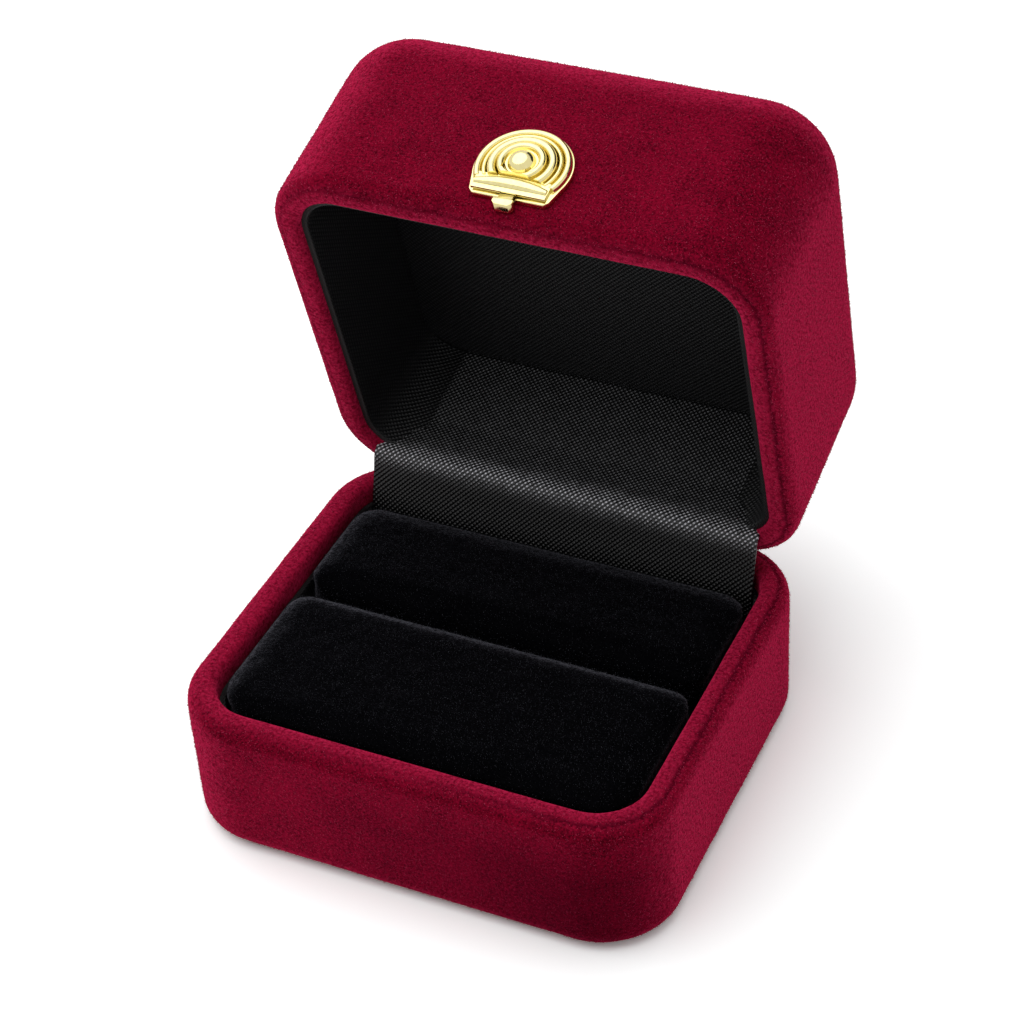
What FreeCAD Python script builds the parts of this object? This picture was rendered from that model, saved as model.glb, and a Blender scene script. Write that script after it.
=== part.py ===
# Velvet ring box: hinged lid, slit cushion, relief clasp with a push button
# The origin is the centre of the underside, +X is the box's right, -Y its front and +Z up
# The lid is modelled shut and then swung open about the hinge pin

import FreeCAD, Part

import math
import os

import Sketcher

doc = FreeCAD.newDocument("RingBox")
sheet = doc.addObject("Spreadsheet::Sheet", "Sizes")

# Driving sizes in millimetres and degrees
driving = (
    # outside of the shut box
    ("width", 64.0),
    ("depth", 56.0),
    ("base_height", 20.0),
    ("lid_height", 30.0),
    ("parting_gap", 0.4),
    ("corner_radius", 10.0),
    ("base_edge_radius", 2.0),
    ("lid_edge_radius", 8.0),
    ("rim_radius", 1.8),
    # moulded shells and the velvet drawn over them
    ("velvet_thickness", 0.9),
    ("shell_wall", 2.0),
    ("shell_floor", 1.8),
    ("turn_in", 5.0),
    # card under the base
    ("card_thickness", 0.5),
    ("card_inset", 4.5),
    # woven linings on card
    ("lining_thickness", 0.8),
    ("base_lining_drop", 2.6),
    ("lid_lining_drop", 0.9),
    ("seat_clearance", 0.15),
    ("ceiling_depth", 19.1),
    ("ceiling_thickness", 1.2),
    # ring cushion in two halves
    ("cushion_card_thickness", 1.0),
    ("pad_drop", 0.8),
    ("pad_crown", 0.6),
    ("pad_edge_radius", 1.7),
    ("pad_draw", 0.6),
    ("pad_belly", 6.0),
    ("pad_crown_run", 5.5),
    ("pad_skin", 0.6),
    ("slit_place", 0.6),
    ("slit_width", 0.6),
    ("front_corner", 5.0),
    ("slit_corner", 2.4),
    ("rear_corner", 3.0),
    ("pad_rear_space", 4.2),
    # hinge
    ("open_angle", 75.0),
    ("axis_inset", 2.0),
    ("axis_rise", 2.7),
    ("leaf_thickness", 0.5),
    ("pin_clearance", 0.05),
    ("pin_head_radius", 1.2),
    ("pin_head", 0.35),
    ("hinge_width", 22.0),
    ("cam_width", 13.6),
    ("knuckle_gap", 0.12),
    ("cam_clearance", 0.05),
    ("stop_clearance", 0.1),
    ("stop_thickness", 0.35),
    ("stop_reach", 0.45),
    ("notch_clearance", 0.35),
    ("base_leaf_reach", 10.5),
    ("lid_leaf_reach", 12.6),
    ("rivet_spread", 16.0),
    ("rivet_radius", 0.6),
    ("rivet_head_radius", 1.1),
    ("rivet_head", 0.3),
    ("rivet_depth", 1.3),
    ("rivet_edge", 3.0),
    ("spring_width", 8.0),
    ("spring_thickness", 0.3),
    ("spring_reach", 8.0),
    ("spring_tip", 0.3),
    # flap over the hinge
    ("flap_side_gap", 1.4),
    ("flap_wall_margin", 0.5),
    ("flap_step", 0.6),
    ("flap_thickness", 0.5),
    ("flap_gap", 0.12),
    ("flap_hem", 0.8),
    ("flap_lift", 6.6),
    ("crest_forward", 4.0),
    ("crest_rise", 2.5),
    ("crest_radius", 1.4),
    ("flap_bend_radius", 6.0),
    ("flap_foot_gap", 0.6),
    # clasp
    ("clasp_rise", 7.6),
    ("clasp_plate", 0.8),
    ("clasp_margin", 0.15),
    ("dish_radius", 1.95),
    ("dish_height", 0.95),
    ("inner_ring_width", 1.05),
    ("inner_ring_height", 1.15),
    ("middle_ring_width", 1.2),
    ("middle_ring_height", 0.8),
    ("step_ring_width", 0.65),
    ("step_ring_height", 0.5),
    ("bead_width", 1.0),
    ("bead_height", 0.35),
    ("ring_flank", 0.1),
    ("ring_crown", 0.35),
    ("ring_groove", 0.3),
    ("flange_width", 10.0),
    ("flange_drop", 4.9),
    ("flange_chamfer", 0.5),
    ("flange_shoulder", 20.0),
    ("arch_foot", 2.15),
    ("arch_foot_bow", 0.9),
    ("recess_width", 3.9),
    ("recess_high", 0.75),
    ("recess_low", 1.6),
    ("recess_wall", 0.2),
    ("recess_depth", 1.0),
    ("ledge_height", 0.6),
    ("ledge_margin", 0.35),
    ("ledge_groove", 0.25),
    ("ledge_undercut", 0.35),
    ("bar_length", 9.1),
    ("bar_height", 1.65),
    ("bar_end_height", 0.8),
    ("bar_bulge", 0.6),
    ("bar_drop", 3.95),
    ("peg_radius", 0.5),
    ("peg_spread", 7.0),
    ("peg_depth", 1.2),
    ("dome_radius", 1.7),
    ("dome_rise", 1.1),
    ("shank_radius", 0.7),
    ("shank_clearance", 0.05),
    ("washer_radius", 1.8),
    ("washer_thickness", 0.35),
    ("tail_radius", 1.0),
    ("tail_thickness", 0.3),
    ("stem_width", 1.8),
    ("stem_thickness", 0.6),
    ("stem_clearance", 0.05),
    ("stem_height", 0.9),
    ("stem_length", 1.1),
    ("button_travel", 0.5),
    ("button_gap", 0.2),
    ("button_width", 2.5),
    ("button_thickness", 1.3),
    ("button_length", 1.0),
    ("button_chamfer", 0.4),
    ("button_spring_radius", 0.3),
    ("button_spring_wall", 0.12),
    ("button_spring_length", 1.0),
)
for row, (alias, value) in enumerate(driving, start=1):
    sheet.set(f"A{row}", alias)
    sheet.set(f"B{row}", str(value))
    sheet.setAlias(f"B{row}", alias)
doc.recompute()

# Places that follow from the driving sizes
half_width = "(Sizes.width / 2)"
half_depth = "(Sizes.depth / 2)"
skin = "Sizes.velvet_thickness"
cavity_inset = "(Sizes.velvet_thickness + Sizes.shell_wall)"
rim_inset = "(2 * Sizes.velvet_thickness + Sizes.shell_wall)"
lining_inset = f"({rim_inset} + Sizes.lining_thickness)"
base_low = "Sizes.card_thickness"
base_high = "Sizes.base_height"
base_shell_low = f"({base_low} + {skin})"
base_shell_high = f"({base_high} - {skin})"
floor_top = f"({base_shell_low} + Sizes.shell_floor)"
lid_low = "(Sizes.base_height + Sizes.parting_gap)"
lid_high = f"({lid_low} + Sizes.lid_height)"
lid_shell_low = f"({lid_low} + {skin})"
lid_shell_high = f"({lid_high} - {skin})"
lid_cavity_top = f"({lid_shell_high} - Sizes.shell_wall)"
ceiling_low = f"({lid_low} + Sizes.ceiling_depth)"
ceiling_high = f"({ceiling_low} + Sizes.ceiling_thickness)"
pad_low = f"({floor_top} + Sizes.cushion_card_thickness)"
axis_y = f"({half_depth} - Sizes.axis_inset)"
axis_z = "(Sizes.base_height + Sizes.parting_gap / 2 + Sizes.axis_rise)"
back_face = f"({half_depth} - {cavity_inset})"
leaf_face = f"({back_face} - Sizes.leaf_thickness)"
eye_radius = f"({axis_y} - {leaf_face})"
bore_radius = f"({eye_radius} - Sizes.leaf_thickness)"
base_rivet_z = "(Sizes.base_height - Sizes.base_leaf_reach + Sizes.rivet_edge)"
lid_rivet_z = f"({lid_low} + Sizes.lid_leaf_reach - Sizes.rivet_edge)"
hinge_half = "(Sizes.hinge_width / 2)"
cam_half = "(Sizes.cam_width / 2)"
notch_half = f"({hinge_half} + Sizes.pin_head + Sizes.notch_clearance)"
clasp_z = f"({lid_low} + Sizes.clasp_rise)"
flange_z = f"({clasp_z} - Sizes.flange_drop)"
flap_half = f"({half_width} - {lining_inset} - Sizes.flap_side_gap)"
flap_wall_half = f"({half_width} - Sizes.corner_radius + Sizes.flap_wall_margin)"
stem_y = f"(-{half_depth} - Sizes.stem_height)"
ledge_top = "(Sizes.clasp_plate + Sizes.ledge_height)"
shank_bore = "(Sizes.shank_radius + Sizes.shank_clearance)"
stem_room = "(Sizes.stem_width / 2 + Sizes.stem_clearance)"
stem_front = f"({stem_y} - Sizes.stem_thickness / 2 - Sizes.stem_clearance)"
stem_rear = f"({stem_y} + Sizes.stem_thickness / 2 + Sizes.stem_clearance)"
stem_top = f"({flange_z} + Sizes.stem_length + Sizes.button_spring_length)"
turned = "rotation(vector(1; 0; 0); -Sizes.open_angle)"
opened = f"placement(vector(0; 0; 0); {turned}; vector(0; {axis_y}; {axis_z}))"

nodes = []


def number(expression):
    return float(sheet.evalExpression(expression))


def node(item, lid=False):
    # a finished piece; pieces of the lid swing open with it
    item.Label = item.Name
    if lid:
        item.setExpression("Placement", opened)
    nodes.append(item)
    return item


def new_body(name):
    owner = doc.addObject("PartDesign::Body", name)
    owner.AllowCompound = True
    return owner


def sketch_on(owner, role, right="0", up="0", out="0"):
    # right and up lie in the plane, out is along its normal
    drawing = owner.newObject("Sketcher::SketchObject", owner.Name + "_sketch")
    planes = owner.Origin.OriginFeatures
    drawing.AttachmentSupport = [(next(p for p in planes if p.Role == role), "")]
    drawing.MapMode = "FlatFace"
    drawing.setExpression("AttachmentOffset.Base.x", right)
    drawing.setExpression("AttachmentOffset.Base.y", up)
    drawing.setExpression("AttachmentOffset.Base.z", out)
    return drawing


def level(owner, height, middle="0"):
    return sketch_on(owner, "XY_Plane", "0", middle, height)


def upright(owner, place, height="0"):
    # a drawing across the box at a place along Y; it looks at the box's front
    return sketch_on(owner, "XZ_Plane", "0", height, f"-({place})")


def side_view(owner, middle, height, across="0"):
    # a drawing in the section plane, about a point of that section
    return sketch_on(owner, "YZ_Plane", middle, height, across)


def distance(drawing, along, first, second, length):
    constraint = drawing.addConstraint(Sketcher.Constraint(along, *first, *second, number(length)))
    drawing.setExpression(f"Constraints[{constraint}]", length)


def settle(drawing, point, x, y):
    # a point at signed distances from the drawing's origin
    origin = (-1, 1)
    for along, place in (("DistanceX", x), ("DistanceY", y)):
        if number(place) < 0:
            distance(drawing, along, point, origin, f"-({place})")
        else:
            distance(drawing, along, origin, point, place)


def rounded_rectangle(drawing, width, depth, front_radius, rear_radius):
    half = number(width) / 2
    deep = number(depth) / 2
    front = number(front_radius)
    rear = number(rear_radius)
    corners = (
        (half - front, front - deep, front, -90),
        (half - rear, deep - rear, rear, 0),
        (rear - half, deep - rear, rear, 90),
        (front - half, front - deep, front, 180),
    )
    arcs = []
    for x, y, radius, start in corners:
        circle = Part.Circle(FreeCAD.Vector(x, y, 0), FreeCAD.Vector(0, 0, 1), radius)
        sweep = (math.radians(start), math.radians(start + 90))
        arcs.append(drawing.addGeometry(Part.ArcOfCircle(circle, *sweep)))
    lines = []
    for first, second in zip(arcs, arcs[1:] + arcs[:1]):
        leave = drawing.getPoint(first, 2)
        arrive = drawing.getPoint(second, 1)
        lines.append(drawing.addGeometry(Part.LineSegment(leave, arrive)))
    for line, first, second in zip(lines, arcs, arcs[1:] + arcs[:1]):
        drawing.addConstraint(Sketcher.Constraint("Tangent", first, 2, line, 1))
        drawing.addConstraint(Sketcher.Constraint("Tangent", line, 2, second, 1))
    for line, run in zip(lines, ("Vertical", "Horizontal", "Vertical", "Horizontal")):
        drawing.addConstraint(Sketcher.Constraint(run, line))
    for arc, radius in zip(arcs, (front_radius, rear_radius, rear_radius, front_radius)):
        constraint = drawing.addConstraint(Sketcher.Constraint("Radius", arc, number(radius)))
        drawing.setExpression(f"Constraints[{constraint}]", radius)
    origin = (-1, 1)
    distance(drawing, "DistanceX", origin, (lines[0], 1), f"({width}) / 2")
    distance(drawing, "DistanceX", (lines[2], 1), origin, f"({width}) / 2")
    distance(drawing, "DistanceY", origin, (lines[1], 1), f"({depth}) / 2")
    distance(drawing, "DistanceY", (lines[3], 1), origin, f"({depth}) / 2")


def rectangle(drawing, left, right, low, high):
    x = (number(left), number(right))
    y = (number(low), number(high))
    points = [FreeCAD.Vector(*p, 0) for p in ((x[0], y[0]), (x[1], y[0]), (x[1], y[1]), (x[0], y[1]))]
    lines = []
    for first, second in zip(points, points[1:] + points[:1]):
        lines.append(drawing.addGeometry(Part.LineSegment(first, second)))
    for first, second in zip(lines, lines[1:] + lines[:1]):
        drawing.addConstraint(Sketcher.Constraint("Coincident", first, 2, second, 1))
    for line, run in zip(lines, ("Horizontal", "Vertical", "Horizontal", "Vertical")):
        drawing.addConstraint(Sketcher.Constraint(run, line))
    settle(drawing, (lines[0], 1), left, low)
    settle(drawing, (lines[2], 1), right, high)


def circles(drawing, centres, radius):
    for x, y in centres:
        place = FreeCAD.Vector(number(x), number(y), 0)
        ring = drawing.addGeometry(Part.Circle(place, FreeCAD.Vector(0, 0, 1), number(radius)))
        constraint = drawing.addConstraint(Sketcher.Constraint("Radius", ring, number(radius)))
        drawing.setExpression(f"Constraints[{constraint}]", radius)
        settle(drawing, (ring, 3), x, y)


def profile(drawing, start, steps):
    # a closed outline; a step is an end point, or a point on the way and an end point for an arc
    first = FreeCAD.Vector(*start, 0)
    here = first
    pieces = []
    for step in steps:
        points = [FreeCAD.Vector(*p, 0) for p in step]
        if len(points) == 2:
            pieces.append(Part.Arc(here, *points))
        else:
            pieces.append(Part.LineSegment(here, points[0]))
        here = points[-1]
    pieces.append(Part.LineSegment(here, first))
    drawing.addGeometry(pieces)


def extrude(owner, kind, drawing, length, back=False):
    before = owner.Shape.Volume if owner.Tip else 0
    feature = owner.newObject("PartDesign::" + kind, owner.Name + "_" + kind.lower())
    feature.Profile = drawing
    feature.setExpression("Length", length)
    feature.Reversed = back
    doc.recompute()
    change = owner.Shape.Volume - before
    if change * (1 if kind == "Pad" else -1) <= 0:
        raise RuntimeError(f"{feature.Name} changed nothing")


def revolve(owner, drawing, axis, angle=360, back=False):
    feature = owner.newObject("PartDesign::Revolution", owner.Name + "_revolution")
    feature.Profile = drawing
    feature.ReferenceAxis = (drawing, [axis])
    feature.Angle = angle
    feature.Reversed = back
    doc.recompute()


def plan(inset):
    radius = f"(Sizes.corner_radius - {inset})"
    return f"(Sizes.width - 2 * {inset})", f"(Sizes.depth - 2 * {inset})", radius, radius


def form(name, inset, low, high):
    # a block with the box's plan, drawn in by an inset
    owner = new_body(name)
    drawing = level(owner, low)
    rounded_rectangle(drawing, *plan(inset))
    extrude(owner, "Pad", drawing, f"({high}) - ({low})")
    return owner


def hollow(owner, inset, low, high):
    drawing = level(owner, high)
    rounded_rectangle(drawing, *plan(inset))
    extrude(owner, "Pocket", drawing, f"({high}) - ({low})")


def slot(owner, left, right, front, rear, low, high):
    drawing = level(owner, high)
    rectangle(drawing, left, right, front, rear)
    extrude(owner, "Pocket", drawing, f"({high}) - ({low})")


def bore(owner, centres, radius, place, depth):
    # round holes from a place along Y towards the back
    drawing = upright(owner, place)
    circles(drawing, centres, radius)
    extrude(owner, "Pocket", drawing, depth)


def inset_of(point):
    # how far a point lies inside the box's plan
    radius = number("Sizes.corner_radius")
    x = abs(point.x) - (number(half_width) - radius)
    y = abs(point.y) - (number(half_depth) - radius)
    outside = math.hypot(max(x, 0), max(y, 0))
    return radius - outside - min(max(x, y), 0)


def soften(owner, inset, height, radius):
    # round the edges that run at one height along the plan drawn in by an inset
    near = 1e-4
    wanted = (number(inset), number(height))
    edges = []
    for count, edge in enumerate(owner.Shape.Edges, start=1):
        span = edge.ParameterRange
        points = [edge.valueAt(span[0] + share * (span[1] - span[0])) for share in (0, 0.5, 1)]
        if all(abs(inset_of(p) - wanted[0]) < near and abs(p.z - wanted[1]) < near for p in points):
            edges.append(f"Edge{count}")
    base = owner.Tip
    fillet = owner.newObject("PartDesign::Fillet", owner.Name + "_fillet")
    fillet.Base = (base, edges)
    fillet.setExpression("Radius", radius)
    doc.recompute()


def cut(name, base, tool):
    result = doc.addObject("Part::Cut", name)
    result.Base = base
    result.Tool = tool
    doc.recompute()
    return result


def loft(owner, sections):
    feature = owner.newObject("PartDesign::AdditiveLoft", owner.Name + "_loft")
    feature.Profile = sections[0]
    feature.Sections = sections[1:]
    feature.Ruled = True
    doc.recompute()


# Base: a moulded tray, velvet drawn over it and turned in, card below
def base_core(name, cavity_low):
    owner = form(name, skin, base_shell_low, base_shell_high)
    soften(owner, skin, base_shell_low, f"Sizes.base_edge_radius - {skin}")
    soften(owner, skin, base_shell_high, f"Sizes.rim_radius - {skin}")
    hollow(owner, cavity_inset, cavity_low, base_shell_high)
    return owner


node(form("base_underside_card", "Sizes.card_inset", "0", base_low))

base_turn = f"({base_high} - Sizes.turn_in)"
base_block = form("base_cover_block", "0", base_low, base_high)
soften(base_block, "0", base_low, "Sizes.base_edge_radius")
soften(base_block, "0", base_high, "Sizes.rim_radius")
hollow(base_block, rim_inset, f"({base_turn} - {skin})", base_high)
soften(base_block, rim_inset, base_high, "Sizes.rim_radius")
leaf_front = f"({leaf_face} - {skin})"
base_turn_low = f"({base_turn} - {skin})"
slot(base_block, f"-{notch_half}", notch_half, leaf_front, back_face, base_turn_low, base_high)
node(cut("base_velvet_cover", base_block, base_core("base_cover_core", base_turn)))

base_shell = node(base_core("base_shell", floor_top))
rivet_half = "(Sizes.rivet_spread / 2)"
base_rivets = ((f"-{rivet_half}", base_rivet_z), (rivet_half, base_rivet_z))
bore(base_shell, base_rivets, "Sizes.rivet_radius", back_face, "Sizes.rivet_depth")

base_lining = node(form("base_wall_lining", rim_inset, floor_top, f"({base_high} - Sizes.base_lining_drop)"))
hollow(base_lining, lining_inset, floor_top, f"({base_high} - Sizes.base_lining_drop)")

cushion_inset = f"({lining_inset} + Sizes.seat_clearance)"
node(form("cushion_card", cushion_inset, floor_top, pad_low))


# Ring cushion: each half is a foam core with drawn-in sides and a crown, in a velvet skin
crown_stations = (0.3, 0.6, 1)


def cushion(name, front, rear, front_corner, rear_corner, inside):
    owner = new_body(name)
    top = f"({base_high} - Sizes.pad_drop - {inside})"
    edge = f"({top} - Sizes.pad_crown)"
    radius = "Sizes.pad_edge_radius"
    stations = [
        (pad_low, "Sizes.pad_draw"),
        (f"({pad_low} + Sizes.pad_belly / 2)", "(Sizes.pad_draw / 4)"),
        (f"({pad_low} + Sizes.pad_belly)", "0"),
    ]
    for turn in (0, 30, 60, 90):
        stations.append((f"({edge} - {radius} * (1 - sin({turn})))", f"({radius} * (1 - cos({turn})))"))
    for share in crown_stations:
        rise = f"Sizes.pad_crown * {share * (2 - share)}"
        stations.append((f"({edge} + {rise})", f"({radius} + Sizes.pad_crown_run * {share})"))
    middle = f"(({front} + {rear}) / 2)"
    sections = []
    for height, draw in stations:
        drawing = level(owner, height, middle)
        width = f"(Sizes.width - 2 * ({cushion_inset} + {draw} + {inside}))"
        depth = f"({rear} - {front} - 2 * ({draw} + {inside}))"
        rounded_rectangle(drawing, width, depth, front_corner, rear_corner)
        sections.append(drawing)
    loft(owner, sections)
    return owner


slit_front = "(Sizes.slit_place - Sizes.slit_width / 2)"
slit_rear = "(Sizes.slit_place + Sizes.slit_width / 2)"
pad_front = f"({cushion_inset} - {half_depth})"
pad_rear = f"({half_depth} - {lining_inset} - Sizes.pad_rear_space)"
halves = (
    ("front_pad", pad_front, slit_front, "Sizes.front_corner", "Sizes.slit_corner"),
    ("rear_pad", slit_rear, pad_rear, "Sizes.slit_corner", "Sizes.rear_corner"),
)


def split_foot(shape):
    # the flat face on the card, and the faces above it
    foot_z = number(pad_low)
    foot = [f for f in shape.Faces if f.BoundBox.ZMax < foot_z + 1e-4]
    return foot[0], [f for f in shape.Faces if f.BoundBox.ZMax >= foot_z + 1e-4]


def pad_skin(name, outside, inside):
    # velvet between the outer form and the foam, open on the card
    outer_foot, outer_faces = split_foot(outside.Shape)
    inner_foot, inner_faces = split_foot(inside.Shape)
    hem = outer_foot.cut(inner_foot).Faces
    walls = outer_faces + hem + [face.reversed() for face in inner_faces]
    closed = Part.Shell(walls)
    closed.sewShape()
    skin_piece = doc.addObject("Part::Feature", name)
    skin_piece.Shape = Part.Solid(closed)
    return skin_piece


for name, front, rear, front_corner, rear_corner in halves:
    foam = node(cushion(name + "_foam", front, rear, front_corner, rear_corner, "Sizes.pad_skin"))
    outside = cushion(name + "_outside", front, rear, front_corner, rear_corner, "0")
    node(pad_skin(name + "_velvet", outside, foam))


# Lid: a deep moulded cap, velvet over it, woven linings inside
def lid_core(name):
    owner = form(name, skin, lid_shell_low, lid_shell_high)
    soften(owner, skin, lid_shell_high, f"Sizes.lid_edge_radius - {skin}")
    soften(owner, skin, lid_shell_low, f"Sizes.rim_radius - {skin}")
    return owner


notch_top = f"({axis_z} + {eye_radius} + Sizes.notch_clearance)"
clasp_pegs = ((f"-(Sizes.peg_spread / 2)", clasp_z), ("(Sizes.peg_spread / 2)", clasp_z))
lid_turn = f"({lid_low} + Sizes.turn_in)"
lid_block = form("lid_cover_block", "0", lid_low, lid_high)
soften(lid_block, "0", lid_high, "Sizes.lid_edge_radius")
soften(lid_block, "0", lid_low, "Sizes.rim_radius")
hollow(lid_block, rim_inset, lid_low, f"({lid_turn} + {skin})")
soften(lid_block, rim_inset, lid_low, "Sizes.rim_radius")
lid_turn_high = f"({lid_turn} + {skin})"
slot(lid_block, f"-{notch_half}", notch_half, leaf_front, half_depth, lid_low, notch_top)
slot(lid_block, f"-{notch_half}", notch_half, leaf_front, back_face, lid_low, lid_turn_high)
bore(lid_block, (("0", clasp_z),), shank_bore, f"-{half_depth}", skin)
bore(lid_block, clasp_pegs, "Sizes.peg_radius", f"-{half_depth}", skin)
lid_fill = lid_core("lid_cover_core")
hollow(lid_fill, cavity_inset, lid_shell_low, lid_turn)
node(cut("lid_velvet_cover", lid_block, lid_fill), lid=True)

lid_cavity = form("lid_cavity", cavity_inset, lid_low, lid_cavity_top)
soften(lid_cavity, cavity_inset, lid_cavity_top, f"Sizes.lid_edge_radius - {cavity_inset}")
lid_shell = lid_core("lid_shell_block")
slot(lid_shell, f"-{notch_half}", notch_half, leaf_front, half_depth, lid_low, notch_top)
lid_rivets = ((f"-{rivet_half}", lid_rivet_z), (rivet_half, lid_rivet_z))
bore(lid_shell, lid_rivets, "Sizes.rivet_radius", back_face, "Sizes.rivet_depth")
bore(lid_shell, (("0", clasp_z),), shank_bore, f"-{half_depth}", cavity_inset)
bore(lid_shell, clasp_pegs, "Sizes.peg_radius", f"-{half_depth}", f"{skin} + Sizes.peg_depth")
node(cut("lid_shell", lid_shell, lid_cavity), lid=True)

lining_low = f"({lid_low} + Sizes.lid_lining_drop)"
lid_lining = form("lid_wall_lining", rim_inset, lining_low, ceiling_low)
hollow(lid_lining, lining_inset, lining_low, ceiling_low)
flap_room = f"({flap_wall_half} + Sizes.seat_clearance)"
slot(lid_lining, f"-{flap_room}", flap_room, "0", half_depth, lining_low, ceiling_low)
node(lid_lining, lid=True)

panel_inset = f"({cavity_inset} + Sizes.seat_clearance)"
node(form("lid_ceiling_panel", panel_inset, ceiling_low, ceiling_high), lid=True)
node(form("lid_ceiling_foam", "Sizes.lid_edge_radius", ceiling_high, lid_cavity_top), lid=True)

# Hinge leaf of the base: a strip rolled round the pin at both ends, cut away between
eye = number(eye_radius)
hole = number(bore_radius)
foot = number(f"Sizes.base_height - Sizes.base_leaf_reach - {axis_z}")
base_leaf = new_body("hinge_base_leaf")
drawing = side_view(base_leaf, axis_y, axis_z, f"-{hinge_half}")
roll_end = -math.sqrt(eye ** 2 - hole ** 2)
profile(drawing, (-eye, foot), (((-eye, 0),), ((eye, 0), (-hole, roll_end)), ((-hole, foot),)))
circles(drawing, (("0", "0"),), bore_radius)
extrude(base_leaf, "Pad", drawing, "Sizes.hinge_width")
cam_flat = eye - number("Sizes.cam_clearance")
swing = math.radians(number("Sizes.open_angle"))
cam_radius = cam_flat / math.cos(swing / 2)
cam_room = f"({cam_half} + Sizes.knuckle_gap)"
leaf_top = f"({axis_z} - {math.sqrt(cam_radius ** 2 - hole ** 2)} - 2 * Sizes.stop_clearance)"
slot(base_leaf, f"-{cam_room}", cam_room, leaf_front, half_depth, leaf_top, f"({axis_z} + {half_depth})")
bore(base_leaf, base_rivets, "Sizes.rivet_radius", leaf_face, "Sizes.leaf_thickness")
node(base_leaf)


# Hinge leaf of the lid: its eye is a cam with two flats and a stop tongue
def shut(point):
    # a point of the open lid's section, turned back to the shut lid
    y, z = point
    return y * math.cos(swing) - z * math.sin(swing), y * math.sin(swing) + z * math.cos(swing)


def on_cam(y):
    return y, -math.sqrt(cam_radius ** 2 - y ** 2)


reach = number(f"{lid_low} + Sizes.lid_leaf_reach - {axis_z}")
step = number("Sizes.spring_tip + 2 * Sizes.stop_clearance")
stop_face = number("Sizes.stop_clearance") - hole
stop_back = stop_face + number("Sizes.stop_thickness")
stop_low = on_cam(stop_back)[1] - number("Sizes.stop_reach")
lid_leaf = new_body("hinge_lid_leaf")
drawing = side_view(lid_leaf, axis_y, axis_z, f"-{hinge_half}")
cam_steps = (
    ((-eye, step),),
    ((-cam_flat, step),),
    ((-cam_flat, -cam_flat * math.tan(swing / 2)),),
    (shut(on_cam(-cam_flat)),),
    (shut(on_cam((stop_face - cam_flat) / 2)), shut(on_cam(stop_face))),
    (shut((stop_face, stop_low)),),
    (shut((stop_back, stop_low)),),
    (shut(on_cam(stop_back)),),
    ((cam_radius, 0), (-hole, math.sqrt(cam_radius ** 2 - hole ** 2))),
    ((-hole, reach),),
)
profile(drawing, (-eye, reach), cam_steps)
circles(drawing, (("0", "0"),), bore_radius)
extrude(lid_leaf, "Pad", drawing, "Sizes.hinge_width")
clear_z = f"{axis_z} + {eye_radius} + Sizes.notch_clearance"
for left, right in ((f"-{half_width}", f"-{cam_half}"), (cam_half, half_width)):
    slot(lid_leaf, left, right, "0", half_depth, f"({axis_z} - {half_depth})", clear_z)
bore(lid_leaf, lid_rivets, "Sizes.rivet_radius", leaf_face, "Sizes.leaf_thickness")
node(lid_leaf, lid=True)

# Pin with an upset head at each end, held by the base's eyes
pin = new_body("hinge_pin")
drawing = upright(pin, axis_y, axis_z)
pin_radius = hole - number("Sizes.pin_clearance")
pin_head = number("Sizes.pin_head_radius")
pin_half = number(hinge_half)
pin_end = pin_half + number("Sizes.pin_head")
pin_steps = (
    ((-pin_end, pin_head),),
    ((-pin_half, pin_head),),
    ((-pin_half, pin_radius),),
    ((pin_half, pin_radius),),
    ((pin_half, pin_head),),
    ((pin_end, pin_head),),
    ((pin_end, 0),),
)
profile(drawing, (-pin_end, 0), pin_steps)
revolve(pin, drawing, "H_Axis")
node(pin)

# Flat spring on the base leaf, its tip on the cam's flat
spring = new_body("hinge_spring")
drawing = level(spring, f"{axis_z} - Sizes.spring_reach")
spring_half = "(Sizes.spring_width / 2)"
rectangle(drawing, f"-{spring_half}", spring_half, f"{leaf_face} - Sizes.spring_thickness", leaf_face)
extrude(spring, "Pad", drawing, "Sizes.spring_reach + Sizes.spring_tip")
node(spring)


def rivets(name, centres):
    owner = new_body(name)
    drawing = upright(owner, leaf_face)
    circles(drawing, centres, "Sizes.rivet_head_radius")
    extrude(owner, "Pad", drawing, "Sizes.rivet_head")
    drawing = upright(owner, leaf_face)
    circles(drawing, centres, "Sizes.rivet_radius")
    extrude(owner, "Pad", drawing, "Sizes.leaf_thickness + Sizes.rivet_depth", back=True)
    return owner


node(rivets("base_hinge_rivets", base_rivets))
node(rivets("lid_hinge_rivets", lid_rivets), lid=True)

# Flap: a woven sheet from the lid's ceiling, over the hinge and down behind the rear pad
axis = (number(axis_y), number(axis_z))


def swung(y, z):
    # a point of the shut lid, swung open
    y, z = y - axis[0], z - axis[1]
    turned_y = y * math.cos(swing) + z * math.sin(swing)
    return FreeCAD.Vector(0, axis[0] + turned_y, axis[1] - y * math.sin(swing) + z * math.cos(swing))


flap_thick = number("Sizes.flap_thickness")
flap_wall = number(f"{half_depth} - {rim_inset} - Sizes.flap_gap") - flap_thick / 2
flap_foot = number(f"{pad_rear} + Sizes.flap_foot_gap") + flap_thick / 2
crest = FreeCAD.Vector(0, axis[0] - number("Sizes.crest_forward"), axis[1] + number("Sizes.crest_rise"))
route = [
    swung(flap_wall, number(f"{ceiling_low} - Sizes.flap_hem")),
    swung(flap_wall, number(f"{lid_low} + Sizes.flap_lift")),
    crest,
    FreeCAD.Vector(0, flap_foot, number(f"{base_high} - Sizes.base_lining_drop")),
    FreeCAD.Vector(0, flap_foot, number(f"{pad_low} + Sizes.flap_hem")),
]
bends = [number("Sizes.flap_bend_radius"), number("Sizes.crest_radius"), number("Sizes.flap_bend_radius")]


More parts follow.
